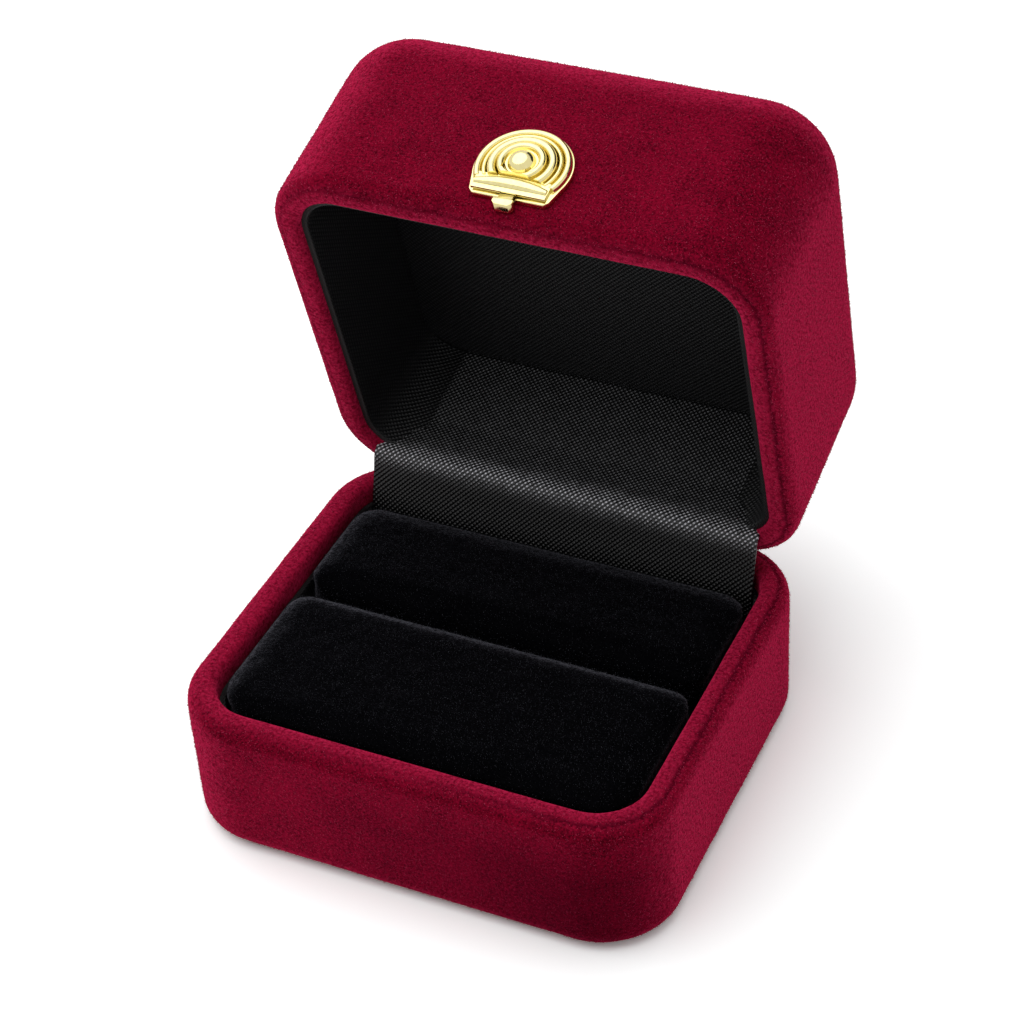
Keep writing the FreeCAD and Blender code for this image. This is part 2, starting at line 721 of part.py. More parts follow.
def beside(points, offset):
    # the route moved sideways by an offset, its corners kept
    headings = [(b - a).normalize() for a, b in zip(points, points[1:])]
    sides = [FreeCAD.Vector(0, -h.z, h.y) for h in headings]
    moved = [points[0] + sides[0] * offset]
    for point, first, second in zip(points[1:], sides, sides[1:]):
        moved.append(point + (first + second) * (offset / (1 + first.dot(second))))
    return moved + [points[-1] + sides[-1] * offset]


def rounded_run(points, radii):
    # lines along the points, joined by arcs
    edges = []
    here = points[0]
    for before, corner, after, radius in zip(points, points[1:], points[2:], radii):
        back = (before - corner).normalize()
        ahead = (after - corner).normalize()
        half_angle = back.getAngle(ahead) / 2
        leave = corner + back * (radius / math.tan(half_angle))
        arrive = corner + ahead * (radius / math.tan(half_angle))
        inward = (back + ahead).normalize()
        middle = corner + inward * (radius / math.sin(half_angle) - radius)
        edges.append(Part.LineSegment(here, leave).toShape())
        edges.append(Part.Arc(leave, middle, arrive).toShape())
        here = arrive
    edges.append(Part.LineSegment(here, points[-1]).toShape())
    return edges


def bend_side(points, index):
    # +1 where the route turns towards its left side
    back = points[index] - points[index - 1]
    ahead = points[index + 1] - points[index]
    return math.copysign(1, back.y * ahead.z - back.z * ahead.y)


outer = []
for offset in (flap_thick / 2, -flap_thick / 2):
    radii = [r - bend_side(route, i) * offset for i, r in enumerate(bends, start=1)]
    outer.append(rounded_run(beside(route, offset), radii))
ends = []
for pick in (0, -1):
    corners = [edges[pick].Vertexes[pick].Point for edges in outer]
    ends.append(Part.LineSegment(*corners).toShape())
sheet_section = Part.Face(Part.Wire(Part.__sortEdges__(outer[0] + outer[1] + ends)))
flap_reach = number(flap_half)
sheet_section.translate(FreeCAD.Vector(-flap_reach, 0, 0))
flap_sheet = doc.addObject("Part::Feature", "flap_sheet")
flap_sheet.Shape = sheet_section.extrude(FreeCAD.Vector(2 * flap_reach, 0, 0))
flap_sides = new_body("flap_sides")
drawing = level(flap_sides, f"({lid_low} + Sizes.flap_step)")
rectangle(drawing, flap_wall_half, half_width, "0", half_depth)
rectangle(drawing, f"-{half_width}", f"-{flap_wall_half}", "0", half_depth)
extrude(flap_sides, "Pad", drawing, "Sizes.lid_height")
flap_sides.setExpression("Placement", opened)
node(cut("hinge_flap", flap_sheet, flap_sides))

# Clasp plate: round above, tapering to a straight flange
arch_radius = number(
    "Sizes.dish_radius + Sizes.inner_ring_width + Sizes.middle_ring_width"
    " + Sizes.step_ring_width + Sizes.bead_width"
)
plate_radius = arch_radius + number("Sizes.clasp_margin")
shoulder = math.radians(number("Sizes.flange_shoulder"))
flange = number("Sizes.flange_width / 2")
drop = number("Sizes.flange_drop")
chamfer = number("Sizes.flange_chamfer")
shoulder_x = plate_radius * math.cos(shoulder)
shoulder_y = -plate_radius * math.sin(shoulder)
plate = new_body("clasp_back_plate")
drawing = upright(plate, f"-{half_depth}", clasp_z)
plate_steps = (
    ((0, plate_radius), (-shoulder_x, shoulder_y)),
    ((-flange, chamfer - drop),),
    ((chamfer - flange, -drop),),
    ((flange - chamfer, -drop),),
    ((flange, chamfer - drop),),
)
profile(drawing, (shoulder_x, shoulder_y), plate_steps)
circles(drawing, (("0", "0"),), shank_bore)
extrude(plate, "Pad", drawing, "Sizes.clasp_plate")
drawing = upright(plate, f"-{half_depth}")
circles(drawing, clasp_pegs, "Sizes.peg_radius")
extrude(plate, "Pad", drawing, f"{skin} + Sizes.peg_depth", back=True)
slot(plate, f"-{stem_room}", stem_room, stem_front, stem_rear, flange_z, stem_top)
node(plate, lid=True)

# Relief: concentric arches that rise to the clasp's centre, cut off above a ledge
seat = -number(f"{half_depth} + Sizes.clasp_plate")
dish = seat - number("Sizes.dish_height")
flank = number("Sizes.ring_flank")
rings = []
for ring in ("inner_ring", "middle_ring", "step_ring", "bead"):
    rings.append((number(f"Sizes.{ring}_width"), seat - number(f"Sizes.{ring}_height")))
arch = new_body("clasp_arch")
drawing = side_view(arch, "0", clasp_z)
here = number("Sizes.dish_radius")
arch_steps = [((dish, number(shank_bore)),), ((dish, here),)]
feet = [top + number("Sizes.ring_groove") for width, top in rings[1:]] + [seat]
for (width, top), foot in zip(rings, feet):
    far = here + width
    crown = top - width * number("Sizes.ring_crown")
    arch_steps.append(((top, here + flank),))
    arch_steps.append(((crown, (here + far) / 2), (top, far - flank)))
    arch_steps.append(((foot, far),))
    here = far
profile(drawing, (seat, number(shank_bore)), arch_steps)
revolve(arch, drawing, "H_Axis")
deep = f"-{half_depth} - Sizes.clasp_plate"
forward = f"{deep} - Sizes.flange_width"
drawing = upright(arch, forward, clasp_z)
foot_high = -number("Sizes.arch_foot")
foot_low = -number("Sizes.arch_foot + Sizes.arch_foot_bow")
below = -2 * arch_radius
foot_steps = (
    ((0, foot_high), (arch_radius, foot_low)),
    ((arch_radius, below),),
    ((-arch_radius, below),),
)
profile(drawing, (-arch_radius, foot_low), foot_steps)
extrude(arch, "Pocket", drawing, "Sizes.flange_width")
drawing = upright(arch, forward, clasp_z)
recess_half = number("Sizes.recess_width / 2")
recess_high = -number("Sizes.recess_high")
recess_low = -number("Sizes.recess_low")
rim = number("Sizes.dome_radius + Sizes.recess_wall")
rim_high = math.sqrt(rim ** 2 - recess_high ** 2)
rim_low = math.sqrt(rim ** 2 - recess_low ** 2)
rim_turn = (math.atan2(recess_high, rim_high) + math.atan2(recess_low, rim_low)) / 2
for side in (1, -1):
    on_rim = (side * rim * math.cos(rim_turn), rim * math.sin(rim_turn))
    recess_steps = (
        (on_rim, (side * rim_low, recess_low)),
        ((side * recess_half, recess_low),),
        ((side * recess_half, recess_high),),
    )
    profile(drawing, (side * rim_high, recess_high), recess_steps)
recess_floor = f"(Sizes.clasp_plate + Sizes.inner_ring_height - Sizes.recess_depth)"
extrude(arch, "Pocket", drawing, f"Sizes.flange_width + Sizes.clasp_plate - {recess_floor}")
ledge_half = "(Sizes.flange_width / 2 - Sizes.ledge_margin)"
ledge_low = f"({flange_z} + Sizes.ledge_margin)"
drawing = upright(arch, deep, clasp_z)
rectangle(drawing, f"-{ledge_half}", ledge_half, "Sizes.ledge_margin - Sizes.flange_drop", "-Sizes.arch_foot")
extrude(arch, "Pad", drawing, "Sizes.ledge_height")
undercut = f"{ledge_low} + Sizes.ledge_undercut"
slot(arch, f"-{ledge_half}", ledge_half, f"{deep} - Sizes.ledge_groove", deep, ledge_low, undercut)
slot(arch, f"-{stem_room}", stem_room, stem_front, stem_rear, flange_z, stem_top)
node(arch, lid=True)

# Domed rivet through the relief, the plate and the lid's wall, clinched on a washer
dome = new_body("clasp_dome_rivet")
drawing = side_view(dome, "0", clasp_z)
wall_face = number(f"{cavity_inset} - {half_depth}")
washer_face = wall_face + number("Sizes.washer_thickness")
tail_face = washer_face + number("Sizes.tail_thickness")
dome_radius = number("Sizes.dome_radius")
dome_top = dish - number("Sizes.dome_rise")
shank = number("Sizes.shank_radius")
tail = number("Sizes.tail_radius")
halfway = math.sqrt(0.5)
bulge = (dish + halfway * (dome_top - dish), dome_radius * halfway)
dome_steps = (
    (bulge, (dish, dome_radius)),
    ((dish, shank),),
    ((washer_face, shank),),
    ((washer_face, tail),),
    ((tail_face, tail),),
    ((tail_face, 0),),
)
profile(drawing, (dome_top, 0), dome_steps)
revolve(dome, drawing, "H_Axis")
node(dome, lid=True)

washer = new_body("clasp_washer")
drawing = upright(washer, f"{cavity_inset} - {half_depth}", clasp_z)
circles(drawing, (("0", "0"),), "Sizes.washer_radius")
circles(drawing, (("0", "0"),), shank_bore)
extrude(washer, "Pad", drawing, "Sizes.washer_thickness", back=True)
node(washer, lid=True)

# Bar lying on the ledge: a strip with a rounded face, arched along its upper edge
bar_stations = (-1, -0.75, -0.5, -0.25, 0, 0.25, 0.5, 0.75, 1)
bar = new_body("clasp_bar")
bar_sections = []
for share in bar_stations:
    rounding = 1 - share ** 2
    grown = number(f"Sizes.bar_end_height + (Sizes.bar_height - Sizes.bar_end_height) * {rounding}")
    bulge = number("Sizes.bar_bulge / Sizes.bar_height") * grown
    place = f"Sizes.bar_length / 2 * {share}"
    drawing = side_view(bar, f"-{half_depth} - {ledge_top}", f"{clasp_z} - Sizes.bar_drop", place)
    profile(drawing, (0, 0), (((-bulge, grown / 2), (0, grown)),))
    bar_sections.append(drawing)
loft(bar, bar_sections)
node(bar, lid=True)

# Push button below the flange: a flat stem in the ledge's slot and a head with cut corners
button = new_body("clasp_button")
button_back = f"{stem_y} + Sizes.button_thickness / 2"
drawing = upright(button, button_back, flange_z)
head_half = number("Sizes.button_width / 2")
head_top = -number("Sizes.button_travel + Sizes.button_gap")
head_low = head_top - number("Sizes.button_length")
corner = number("Sizes.button_chamfer")
button_steps = (
    ((head_half, head_top),),
    ((head_half, head_low + corner),),
    ((head_half - corner, head_low),),
    ((corner - head_half, head_low),),
    ((-head_half, head_low + corner),),
)
profile(drawing, (-head_half, head_top), button_steps)
extrude(button, "Pad", drawing, "Sizes.button_thickness")
stem_low = f"({flange_z} - Sizes.button_travel - Sizes.button_gap)"
drawing = level(button, stem_low, stem_y)
stem_half = "(Sizes.stem_width / 2)"
stem_deep = "(Sizes.stem_thickness / 2)"
rectangle(drawing, f"-{stem_half}", stem_half, f"-{stem_deep}", stem_deep)
extrude(button, "Pad", drawing, f"{flange_z} + Sizes.stem_length - {stem_low}")
node(button, lid=True)

# Return spring of the button, a plain sleeve behind the stem
coil = new_body("clasp_button_spring")
drawing = level(coil, f"{flange_z} + Sizes.stem_length", stem_y)
circles(drawing, (("0", "0"),), "Sizes.button_spring_radius")
circles(drawing, (("0", "0"),), "Sizes.button_spring_radius - Sizes.button_spring_wall")
extrude(coil, "Pad", drawing, "Sizes.button_spring_length")
node(coil, lid=True)

# Every object is sound before anything is written
doc.recompute()
for item in doc.Objects:
    faults = [state for state in item.State if state in ("Invalid", "Error")]
    if faults:
        raise RuntimeError(f"{item.Name}: {faults}")
for item in nodes:
    if item.Shape.isNull() or not item.Shape.isValid() or not item.Shape.Solids:
        raise RuntimeError(f"{item.Label}: no sound solid")

os.makedirs("parts", exist_ok=True)
for item in nodes:
    item.Shape.exportStep(f"parts/{item.Label}.step")
    print(f"{item.Label}: {len(item.Shape.Solids)} solids, {item.Shape.Volume:.2f} mm3")
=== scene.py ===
import math

import bmesh
import bpy
from mathutils import Matrix, Vector, noise


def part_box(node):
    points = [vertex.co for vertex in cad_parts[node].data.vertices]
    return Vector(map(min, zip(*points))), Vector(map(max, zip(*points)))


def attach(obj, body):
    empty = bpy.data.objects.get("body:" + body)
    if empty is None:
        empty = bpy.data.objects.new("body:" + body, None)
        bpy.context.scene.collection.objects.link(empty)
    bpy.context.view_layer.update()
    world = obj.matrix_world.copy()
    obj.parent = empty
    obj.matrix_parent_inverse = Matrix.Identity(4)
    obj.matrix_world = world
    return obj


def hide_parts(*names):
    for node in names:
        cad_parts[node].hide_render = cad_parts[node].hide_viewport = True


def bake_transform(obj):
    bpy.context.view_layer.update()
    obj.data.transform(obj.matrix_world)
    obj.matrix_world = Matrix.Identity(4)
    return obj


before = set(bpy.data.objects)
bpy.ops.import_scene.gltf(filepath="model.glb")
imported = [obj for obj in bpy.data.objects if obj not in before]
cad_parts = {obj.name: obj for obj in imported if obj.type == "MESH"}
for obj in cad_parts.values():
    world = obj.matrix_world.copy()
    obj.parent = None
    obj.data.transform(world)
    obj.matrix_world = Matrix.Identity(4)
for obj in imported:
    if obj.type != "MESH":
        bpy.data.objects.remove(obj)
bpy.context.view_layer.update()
mm = 0.001
mm2InM2 = 1e6
scene = bpy.context.scene
scene.view_settings.view_transform = "Standard"

# the box, in millimetres, as the solids have it
boxSizes = {
    "width": 64.0, "depth": 56.0, "corner": 10.0, "baseHigh": 20.0, "lidLow": 20.4,
    "axisY": 26.0, "axisZ": 22.9, "openAngle": 75.0,
}
axisPlace = Matrix.Translation((0, boxSizes["axisY"] * mm, boxSizes["axisZ"] * mm))
openLid = axisPlace @ Matrix.Rotation(math.radians(-boxSizes["openAngle"]), 4, "X") @ axisPlace.inverted()
levelPlace = Matrix.Identity(4)


# camera, from a fit to the photograph
cameraSetup = {
    "place": (115.15, -219.02, 237.17), "azimuth": 26.9132, "elevation": 38.7356, "roll": -4.0129,
    "lens": 93.23, "sensor": 36.0, "clipStart": 0.01,
}


def addCamera(setup):
    turn, lift, roll = (math.radians(setup[key]) for key in ("azimuth", "elevation", "roll"))
    back = Vector((math.sin(turn) * math.cos(lift), -math.cos(turn) * math.cos(lift), math.sin(lift)))
    right = Vector((math.cos(turn), math.sin(turn), 0))
    up = back.cross(right)
    across = right * math.cos(roll) + up * math.sin(roll)
    upward = up * math.cos(roll) - right * math.sin(roll)
    data = bpy.data.cameras.new("photoCamera")
    data.lens = setup["lens"]
    data.sensor_width = setup["sensor"]
    data.clip_start = setup["clipStart"]
    item = bpy.data.objects.new("photoCamera", data)
    scene.collection.objects.link(item)
    place = Matrix((across, upward, back)).transposed().to_4x4()
    place.translation = Vector(setup["place"]) * mm
    item.matrix_world = place
    scene.camera = item


addCamera(cameraSetup)
print("camera placed")


# a colour as typed, brought from the sRGB curve to linear light
def toLinear(hexText):
    parts = [int(hexText[i:i + 2], 16) / 255 for i in (0, 2, 4)]
    return (*[p / 12.92 if p <= 0.04045 else ((p + 0.055) / 1.055) ** 2.4 for p in parts], 1.0)


def addNode(tree, kind, inputs=None, **settings):
    node = tree.nodes.new(kind)
    for key, value in settings.items():
        setattr(node, key, value)
    for key, value in (inputs or {}).items():
        if isinstance(value, bpy.types.NodeSocket):
            tree.links.new(value, node.inputs[key])
        else:
            node.inputs[key].default_value = value
    return node


mixA, mixB, mixOut = 6, 7, 2  # sockets of a colour mix


def newMaterial(name):
    material = bpy.data.materials.new(name)
    material.use_nodes = True
    tree = material.node_tree
    return material, tree, tree.nodes["Principled BSDF"]


def perMetre(sizeInMm):
    return 1000 / sizeInMm  # noise scale for a feature of that size


# spread of any pile: noise in, brightness out, and millimetres across the crease
pileLook = {
    "toneLow": 0.37, "toneHigh": 0.63, "tuftLow": 0.36, "tuftHigh": 0.64, "thinnest": 0.3, "thickest": 1.6,
    "rimFrom": 1.7, "rimTo": 3.7, "jagLow": 2.3, "jagHigh": 3.7,
}


# cotton velvet: an upright pile, dark looked at square on and brighter at a glancing angle; that brightening
# is a painted sheen mixed into the base colour
def makeVelvet(name, finish):
    material, tree, shader = newMaterial(name)
    coords = addNode(tree, "ShaderNodeTexCoord").outputs["Object"]
    pile = addNode(tree, "ShaderNodeTexNoise", {
        "Vector": coords, "Scale": perMetre(finish["pileMm"]), "Detail": 3.0, "Roughness": 0.75})
    brushed = addNode(tree, "ShaderNodeTexNoise", {
        "Vector": coords, "Scale": perMetre(finish["brushedMm"]), "Detail": 2.0})
    both = addNode(tree, "ShaderNodeMix", {
        "Factor": finish["brushedShare"], "A": pile.outputs["Fac"], "B": brushed.outputs["Fac"]})
    tone = addNode(tree, "ShaderNodeMapRange", {
        "Value": both.outputs["Result"], "From Min": pileLook["toneLow"],
        "From Max": pileLook["toneHigh"]})
    body = addNode(tree, "ShaderNodeMix", {
        "Factor": tone.outputs["Result"], mixA: toLinear(finish["deep"]), mixB: toLinear(finish["light"])},
        data_type="RGBA")
    bump = addNode(tree, "ShaderNodeBump", {
        "Height": pile.outputs["Fac"], "Strength": finish["bump"], "Distance": finish["pileMm"] * mm})
    facing = addNode(tree, "ShaderNodeLayerWeight", {"Blend": 0.5, "Normal": bump.outputs["Normal"]})
    # painted sheen: the base colour turns lighter as the surface is seen at a more glancing angle
    paintedSheen = addNode(tree, "ShaderNodeMapRange", {
        "Value": facing.outputs["Facing"], "From Min": finish["glanceFrom"], "From Max": finish["glanceTo"]})
    tuft = addNode(tree, "ShaderNodeTexNoise", {
        "Vector": coords, "Scale": perMetre(finish["tuftMm"]), "Detail": 2.0, "Roughness": 0.6})
    patchy = addNode(tree, "ShaderNodeMapRange", {
        "Value": tuft.outputs["Fac"], "From Min": pileLook["tuftLow"],
        "From Max": pileLook["tuftHigh"],
        "To Min": pileLook["thinnest"], "To Max": pileLook["thickest"]})
    share = addNode(tree, "ShaderNodeMath", {
        0: paintedSheen.outputs["Result"], 1: patchy.outputs["Result"]}, operation="MULTIPLY")
    side = addNode(tree, "ShaderNodeAttribute", attribute_name="creaseSide")  # mm across the crease
    # painted highlight: the top of the rim is mixed towards the glancing colour, as if lit from above
    paintedRimHighlight = addNode(tree, "ShaderNodeMapRange", {
        "Value": side.outputs["Fac"], "From Min": pileLook["rimFrom"], "From Max": pileLook["rimTo"],
        "To Max": finish["rimLight"]})
    spread = addNode(tree, "ShaderNodeMath", {
        0: paintedRimHighlight.outputs["Result"], 1: patchy.outputs["Result"], 2: share.outputs[0]},
        operation="MULTIPLY_ADD", use_clamp=True)
    lit = addNode(tree, "ShaderNodeMix", {
        "Factor": spread.outputs[0], mixA: body.outputs[mixOut], mixB: toLinear(finish["paintedSheen"])},
        data_type="RGBA")
    # painted shade: a dark jagged line along the crease at the rim's shoulder, stronger towards the right
    jag = addNode(tree, "ShaderNodeTexNoise", {
        "Vector": coords, "Scale": perMetre(finish["jagMm"]), "Detail": 3.0, "Roughness": 0.7})
    wander = addNode(tree, "ShaderNodeMapRange", {
        "Value": jag.outputs["Fac"], "To Min": pileLook["jagLow"], "To Max": pileLook["jagHigh"]})
    away = addNode(tree, "ShaderNodeMath", {
        0: side.outputs["Fac"], 1: wander.outputs["Result"]}, operation="SUBTRACT")
    near = addNode(tree, "ShaderNodeMath", {0: away.outputs[0]}, operation="ABSOLUTE")
    close = addNode(tree, "ShaderNodeMapRange", {
        "Value": near.outputs[0], "From Max": finish["creaseMm"],
        "To Min": finish["creaseDark"], "To Max": 0.0}, interpolation_type="SMOOTHSTEP")
    creaseStrength = addNode(tree, "ShaderNodeAttribute", attribute_name="creaseShadeStrength")
    frontShade = addNode(tree, "ShaderNodeAttribute", attribute_name="paintedFrontShade")  # painted shade down the front of the base
    dark = addNode(tree, "ShaderNodeMath", {
        0: close.outputs["Result"], 1: creaseStrength.outputs["Fac"], 2: frontShade.outputs["Fac"]},
        operation="MULTIPLY_ADD", use_clamp=True)
    colour = addNode(tree, "ShaderNodeMix", {
        "Factor": dark.outputs[0], mixA: lit.outputs[mixOut], mixB: toLinear(finish["paintedShade"])},
        data_type="RGBA")
    tree.links.new(colour.outputs[mixOut], shader.inputs["Base Color"])
    tree.links.new(bump.outputs["Normal"], shader.inputs["Normal"])
    shader.inputs["Roughness"].default_value = 1.0
    shader.inputs["Specular IOR Level"].default_value = 0.0
    return material


# the crease colour of each velvet is a painted shade
# the pile is drawn 0.26 mm coarse, because single fibres are too fine to show
# the glancing colour of each velvet is a painted sheen
crimsonVelvet = makeVelvet("crimsonCottonVelvet", {
    "deep": "36020C", "light": "840826", "pileMm": 0.26, "brushedMm": 5.0, "brushedShare": 0.16, "bump": 0.4,
    "glanceFrom": 0.34, "glanceTo": 0.95, "paintedSheen": "BE244C", "rimLight": 0.24,
    "paintedShade": "26000A", "creaseMm": 0.5, "creaseDark": 0.6, "jagMm": 0.8, "tuftMm": 0.4})
crimsonPile = makeVelvet("crimsonPileTips", {
    "deep": "6A0820", "light": "B82448", "pileMm": 0.5, "brushedMm": 3.0, "brushedShare": 0.3, "bump": 0.0,
    "glanceFrom": 0.3, "glanceTo": 1.0, "paintedSheen": "D85A7C", "rimLight": 0.1,
    "paintedShade": "36020E", "creaseMm": 0.5, "creaseDark": 0.0, "jagMm": 0.8, "tuftMm": 0.4})
blackVelvet = makeVelvet("blackCottonVelvet", {
    "deep": "020203", "light": "08080A", "pileMm": 0.26, "brushedMm": 4.0, "brushedShare": 0.2, "bump": 0.4,
    "glanceFrom": 0.5, "glanceTo": 1.0, "paintedSheen": "5A5A62", "rimLight": 0.0,
    "paintedShade": "010102", "creaseMm": 0.5, "creaseDark": 0.0, "jagMm": 0.8, "tuftMm": 0.4})
blackPile = makeVelvet("blackPileTips", {
    "deep": "060607", "light": "1E1E22", "pileMm": 0.5, "brushedMm": 3.0, "brushedShare": 0.3, "bump": 0.0,
    "glanceFrom": 0.5, "glanceTo": 1.0, "paintedSheen": "606068", "rimLight": 0.0,
    "paintedShade": "010102", "creaseMm": 0.5, "creaseDark": 0.0, "jagMm": 0.8, "tuftMm": 0.4})


# polyester bookcloth: diagonal threads that cross in a lattice of small bright knots
def makeWeave(name, finish):
    material, tree, shader = newMaterial(name)
    flat = addNode(tree, "ShaderNodeUVMap", uv_map="cloth").outputs["UV"]
    parts = addNode(tree, "ShaderNodeSeparateXYZ", {"Vector": flat})
    half = 0.5  # a sine halved and raised by a half runs from nought to one
    waves = []
    for kind in ("ADD", "SUBTRACT"):
        slant = addNode(tree, "ShaderNodeMath", {
            0: parts.outputs["X"], 1: parts.outputs["Y"]}, operation=kind)
        turns = addNode(tree, "ShaderNodeMath", {
            0: slant.outputs[0], 1: math.tau / (finish["threadMm"] * math.sqrt(2))}, operation="MULTIPLY")
        wave = addNode(tree, "ShaderNodeMath", {0: turns.outputs[0]}, operation="SINE")
        waves.append(addNode(tree, "ShaderNodeMath", {
            0: wave.outputs[0], 1: half, 2: half}, operation="MULTIPLY_ADD").outputs[0])
    knots = addNode(tree, "ShaderNodeMath", {0: waves[0], 1: waves[1]}, operation="MULTIPLY")
    height = addNode(tree, "ShaderNodeMix", {
        "Factor": finish["ridgeShare"], "A": knots.outputs[0], "B": waves[0]})
    coords = addNode(tree, "ShaderNodeTexCoord").outputs["Object"]
    slub = addNode(tree, "ShaderNodeTexNoise", {"Vector": coords, "Scale": perMetre(finish["slubMm"])})
    narrow = addNode(tree, "ShaderNodeMath", {
        0: height.outputs["Result"], 1: finish["narrow"]}, operation="POWER")
    slubbed = addNode(tree, "ShaderNodeMath", {
        0: narrow.outputs[0], 1: slub.outputs["Fac"]}, operation="MULTIPLY")
    toneAndPaintedLight = addNode(tree, "ShaderNodeAttribute", attribute_name="toneAndPaintedLight")  # thread tone a row; on the flap also a painted highlight along the crest and painted shade at the foot
    uneven = addNode(tree, "ShaderNodeMath", {
        0: slubbed.outputs[0], 1: toneAndPaintedLight.outputs["Fac"]}, operation="MULTIPLY", use_clamp=True)
    colour = addNode(tree, "ShaderNodeMix", {
        "Factor": uneven.outputs[0], mixA: toLinear(finish["gap"]), mixB: toLinear(finish["thread"])},
        data_type="RGBA")
    bump = addNode(tree, "ShaderNodeBump", {
        "Height": height.outputs["Result"], "Strength": finish["bump"],
        "Distance": finish["threadMm"] * mm * finish["relief"]})
    tree.links.new(colour.outputs[mixOut], shader.inputs["Base Color"])
    tree.links.new(bump.outputs["Normal"], shader.inputs["Normal"])
    shader.inputs["Roughness"].default_value = finish["rough"]
    shader.inputs["Specular IOR Level"].default_value = finish["specular"]
    return material


# real threads are about 0.25 mm apart; 0.5 mm is what the photograph lets show
flapWeave = makeWeave("blackPolyesterBookcloth", {
    "threadMm": 0.5, "ridgeShare": 0.3, "narrow": 2.0, "gap": "020203", "thread": "E6E6EC", "slubMm": 1.1,
    "bump": 1.0, "relief": 0.5, "rough": 0.4, "specular": 0.34})
liningWeave = makeWeave("blackLiningCloth", {
    "threadMm": 0.5, "ridgeShare": 0.3, "narrow": 1.2, "gap": "020203", "thread": "C4C4CC", "slubMm": 1.1,
    "bump": 0.55, "relief": 0.5, "rough": 0.5, "specular": 0.35})


# millboard and the moulded shells: dull and slightly fibrous
def makeBoard(name, finish):
    material, tree, shader = newMaterial(name)
    coords = addNode(tree, "ShaderNodeTexCoord").outputs["Object"]
    fibre = addNode(tree, "ShaderNodeTexNoise", {
        "Vector": coords, "Scale": perMetre(finish["fibreMm"]), "Detail": 4.0})
    colour = addNode(tree, "ShaderNodeMix", {
        "Factor": fibre.outputs["Fac"], mixA: toLinear(finish["deep"]), mixB: toLinear(finish["light"])},
        data_type="RGBA")
    bump = addNode(tree, "ShaderNodeBump", {
        "Height": fibre.outputs["Fac"], "Strength": finish["bump"],
        "Distance": finish["fibreMm"] * mm * finish["relief"]})
    tree.links.new(colour.outputs[mixOut], shader.inputs["Base Color"])
    tree.links.new(bump.outputs["Normal"], shader.inputs["Normal"])
    shader.inputs["Roughness"].default_value = finish["rough"]
    return material


blackBoard = makeBoard("blackMillboard", {
    "deep": "101011", "light": "26262A", "fibreMm": 0.6, "bump": 0.3, "relief": 0.2, "rough": 0.85})
mouldedShell = makeBoard("mouldedPolystyrene", {
    "deep": "1A1415", "light": "241C1D", "fibreMm": 1.5, "bump": 0.3, "relief": 0.2, "rough": 0.5})


# plated or rolled metal: a clear reflection, broken by fine polishing lines
def makeMetal(name, finish):
    material, tree, shader = newMaterial(name)
    coords = addNode(tree, "ShaderNodeTexCoord").outputs["Object"]
    drawn = addNode(tree, "ShaderNodeMapping", {"Vector": coords, "Scale": finish["grain"]})
    lines = addNode(tree, "ShaderNodeTexNoise", {
        "Vector": drawn.outputs["Vector"], "Scale": perMetre(finish["lineMm"]), "Detail": 3.0})
    rough = addNode(tree, "ShaderNodeMapRange", {
        "Value": lines.outputs["Fac"], "To Min": finish["rough"][0], "To Max": finish["rough"][1]})
    colour = addNode(tree, "ShaderNodeMix", {
        "Factor": lines.outputs["Fac"], mixA: toLinear(finish["deep"]), mixB: toLinear(finish["light"])},
        data_type="RGBA")
    bump = addNode(tree, "ShaderNodeBump", {
        "Height": lines.outputs["Fac"], "Strength": finish["bump"],
        "Distance": finish["lineMm"] * mm * finish["relief"]})
    tree.links.new(colour.outputs[mixOut], shader.inputs["Base Color"])
    tree.links.new(rough.outputs["Result"], shader.inputs["Roughness"])
    tree.links.new(bump.outputs["Normal"], shader.inputs["Normal"])
    shader.inputs["Metallic"].default_value = 1.0
    return material


paleGold = makeMetal("paleGoldPlatedZinc", {
    "deep": "D8CA88", "light": "ECE0AA", "lineMm": 0.5, "grain": (1, 1, 1), "rough": (0.1, 0.2),
    "bump": 0.08, "relief": 0.1})
springSteel = makeMetal("nickelPlatedSteel", {
    "deep": "9A9A98", "light": "C4C4C0", "lineMm": 0.2, "grain": (0.1, 1, 1), "rough": (0.22, 0.42),
    "bump": 0.2, "relief": 0.1})
print("materials made")


def meshPiece(name, mesh, material):
    item = bpy.data.objects.new(name, mesh)
    scene.collection.objects.link(item)
    mesh.materials.clear()
    mesh.materials.append(material)
    return item


def nodeCopy(nodeName, merge=2e-6):
    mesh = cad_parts[nodeName].data.copy()  # a CAD mesh is loose triangles
    shape = bmesh.new()
    shape.from_mesh(mesh)
    bmesh.ops.remove_doubles(shape, verts=shape.verts, dist=merge)
    shape.to_mesh(mesh)
    shape.free()
    return mesh


def bakeModifiers(item):
    graph = bpy.context.evaluated_depsgraph_get()
    baked = bpy.data.meshes.new_from_object(item.evaluated_get(graph))
    item.modifiers.clear()
    old = item.data
    item.data = baked
    bpy.data.meshes.remove(old)


def shadeSmooth(mesh):
    mesh.polygons.foreach_set("use_smooth", [True] * len(mesh.polygons))
    mesh.update()


def pushOut(mesh, moves):
    # moves each vertex along its normal; the normals are read before anything moves
    normals = [vertex.normal.copy() for vertex in mesh.vertices]
    for vertex, normal, move in zip(mesh.vertices, normals, moves):
        vertex.co = vertex.co + normal * move


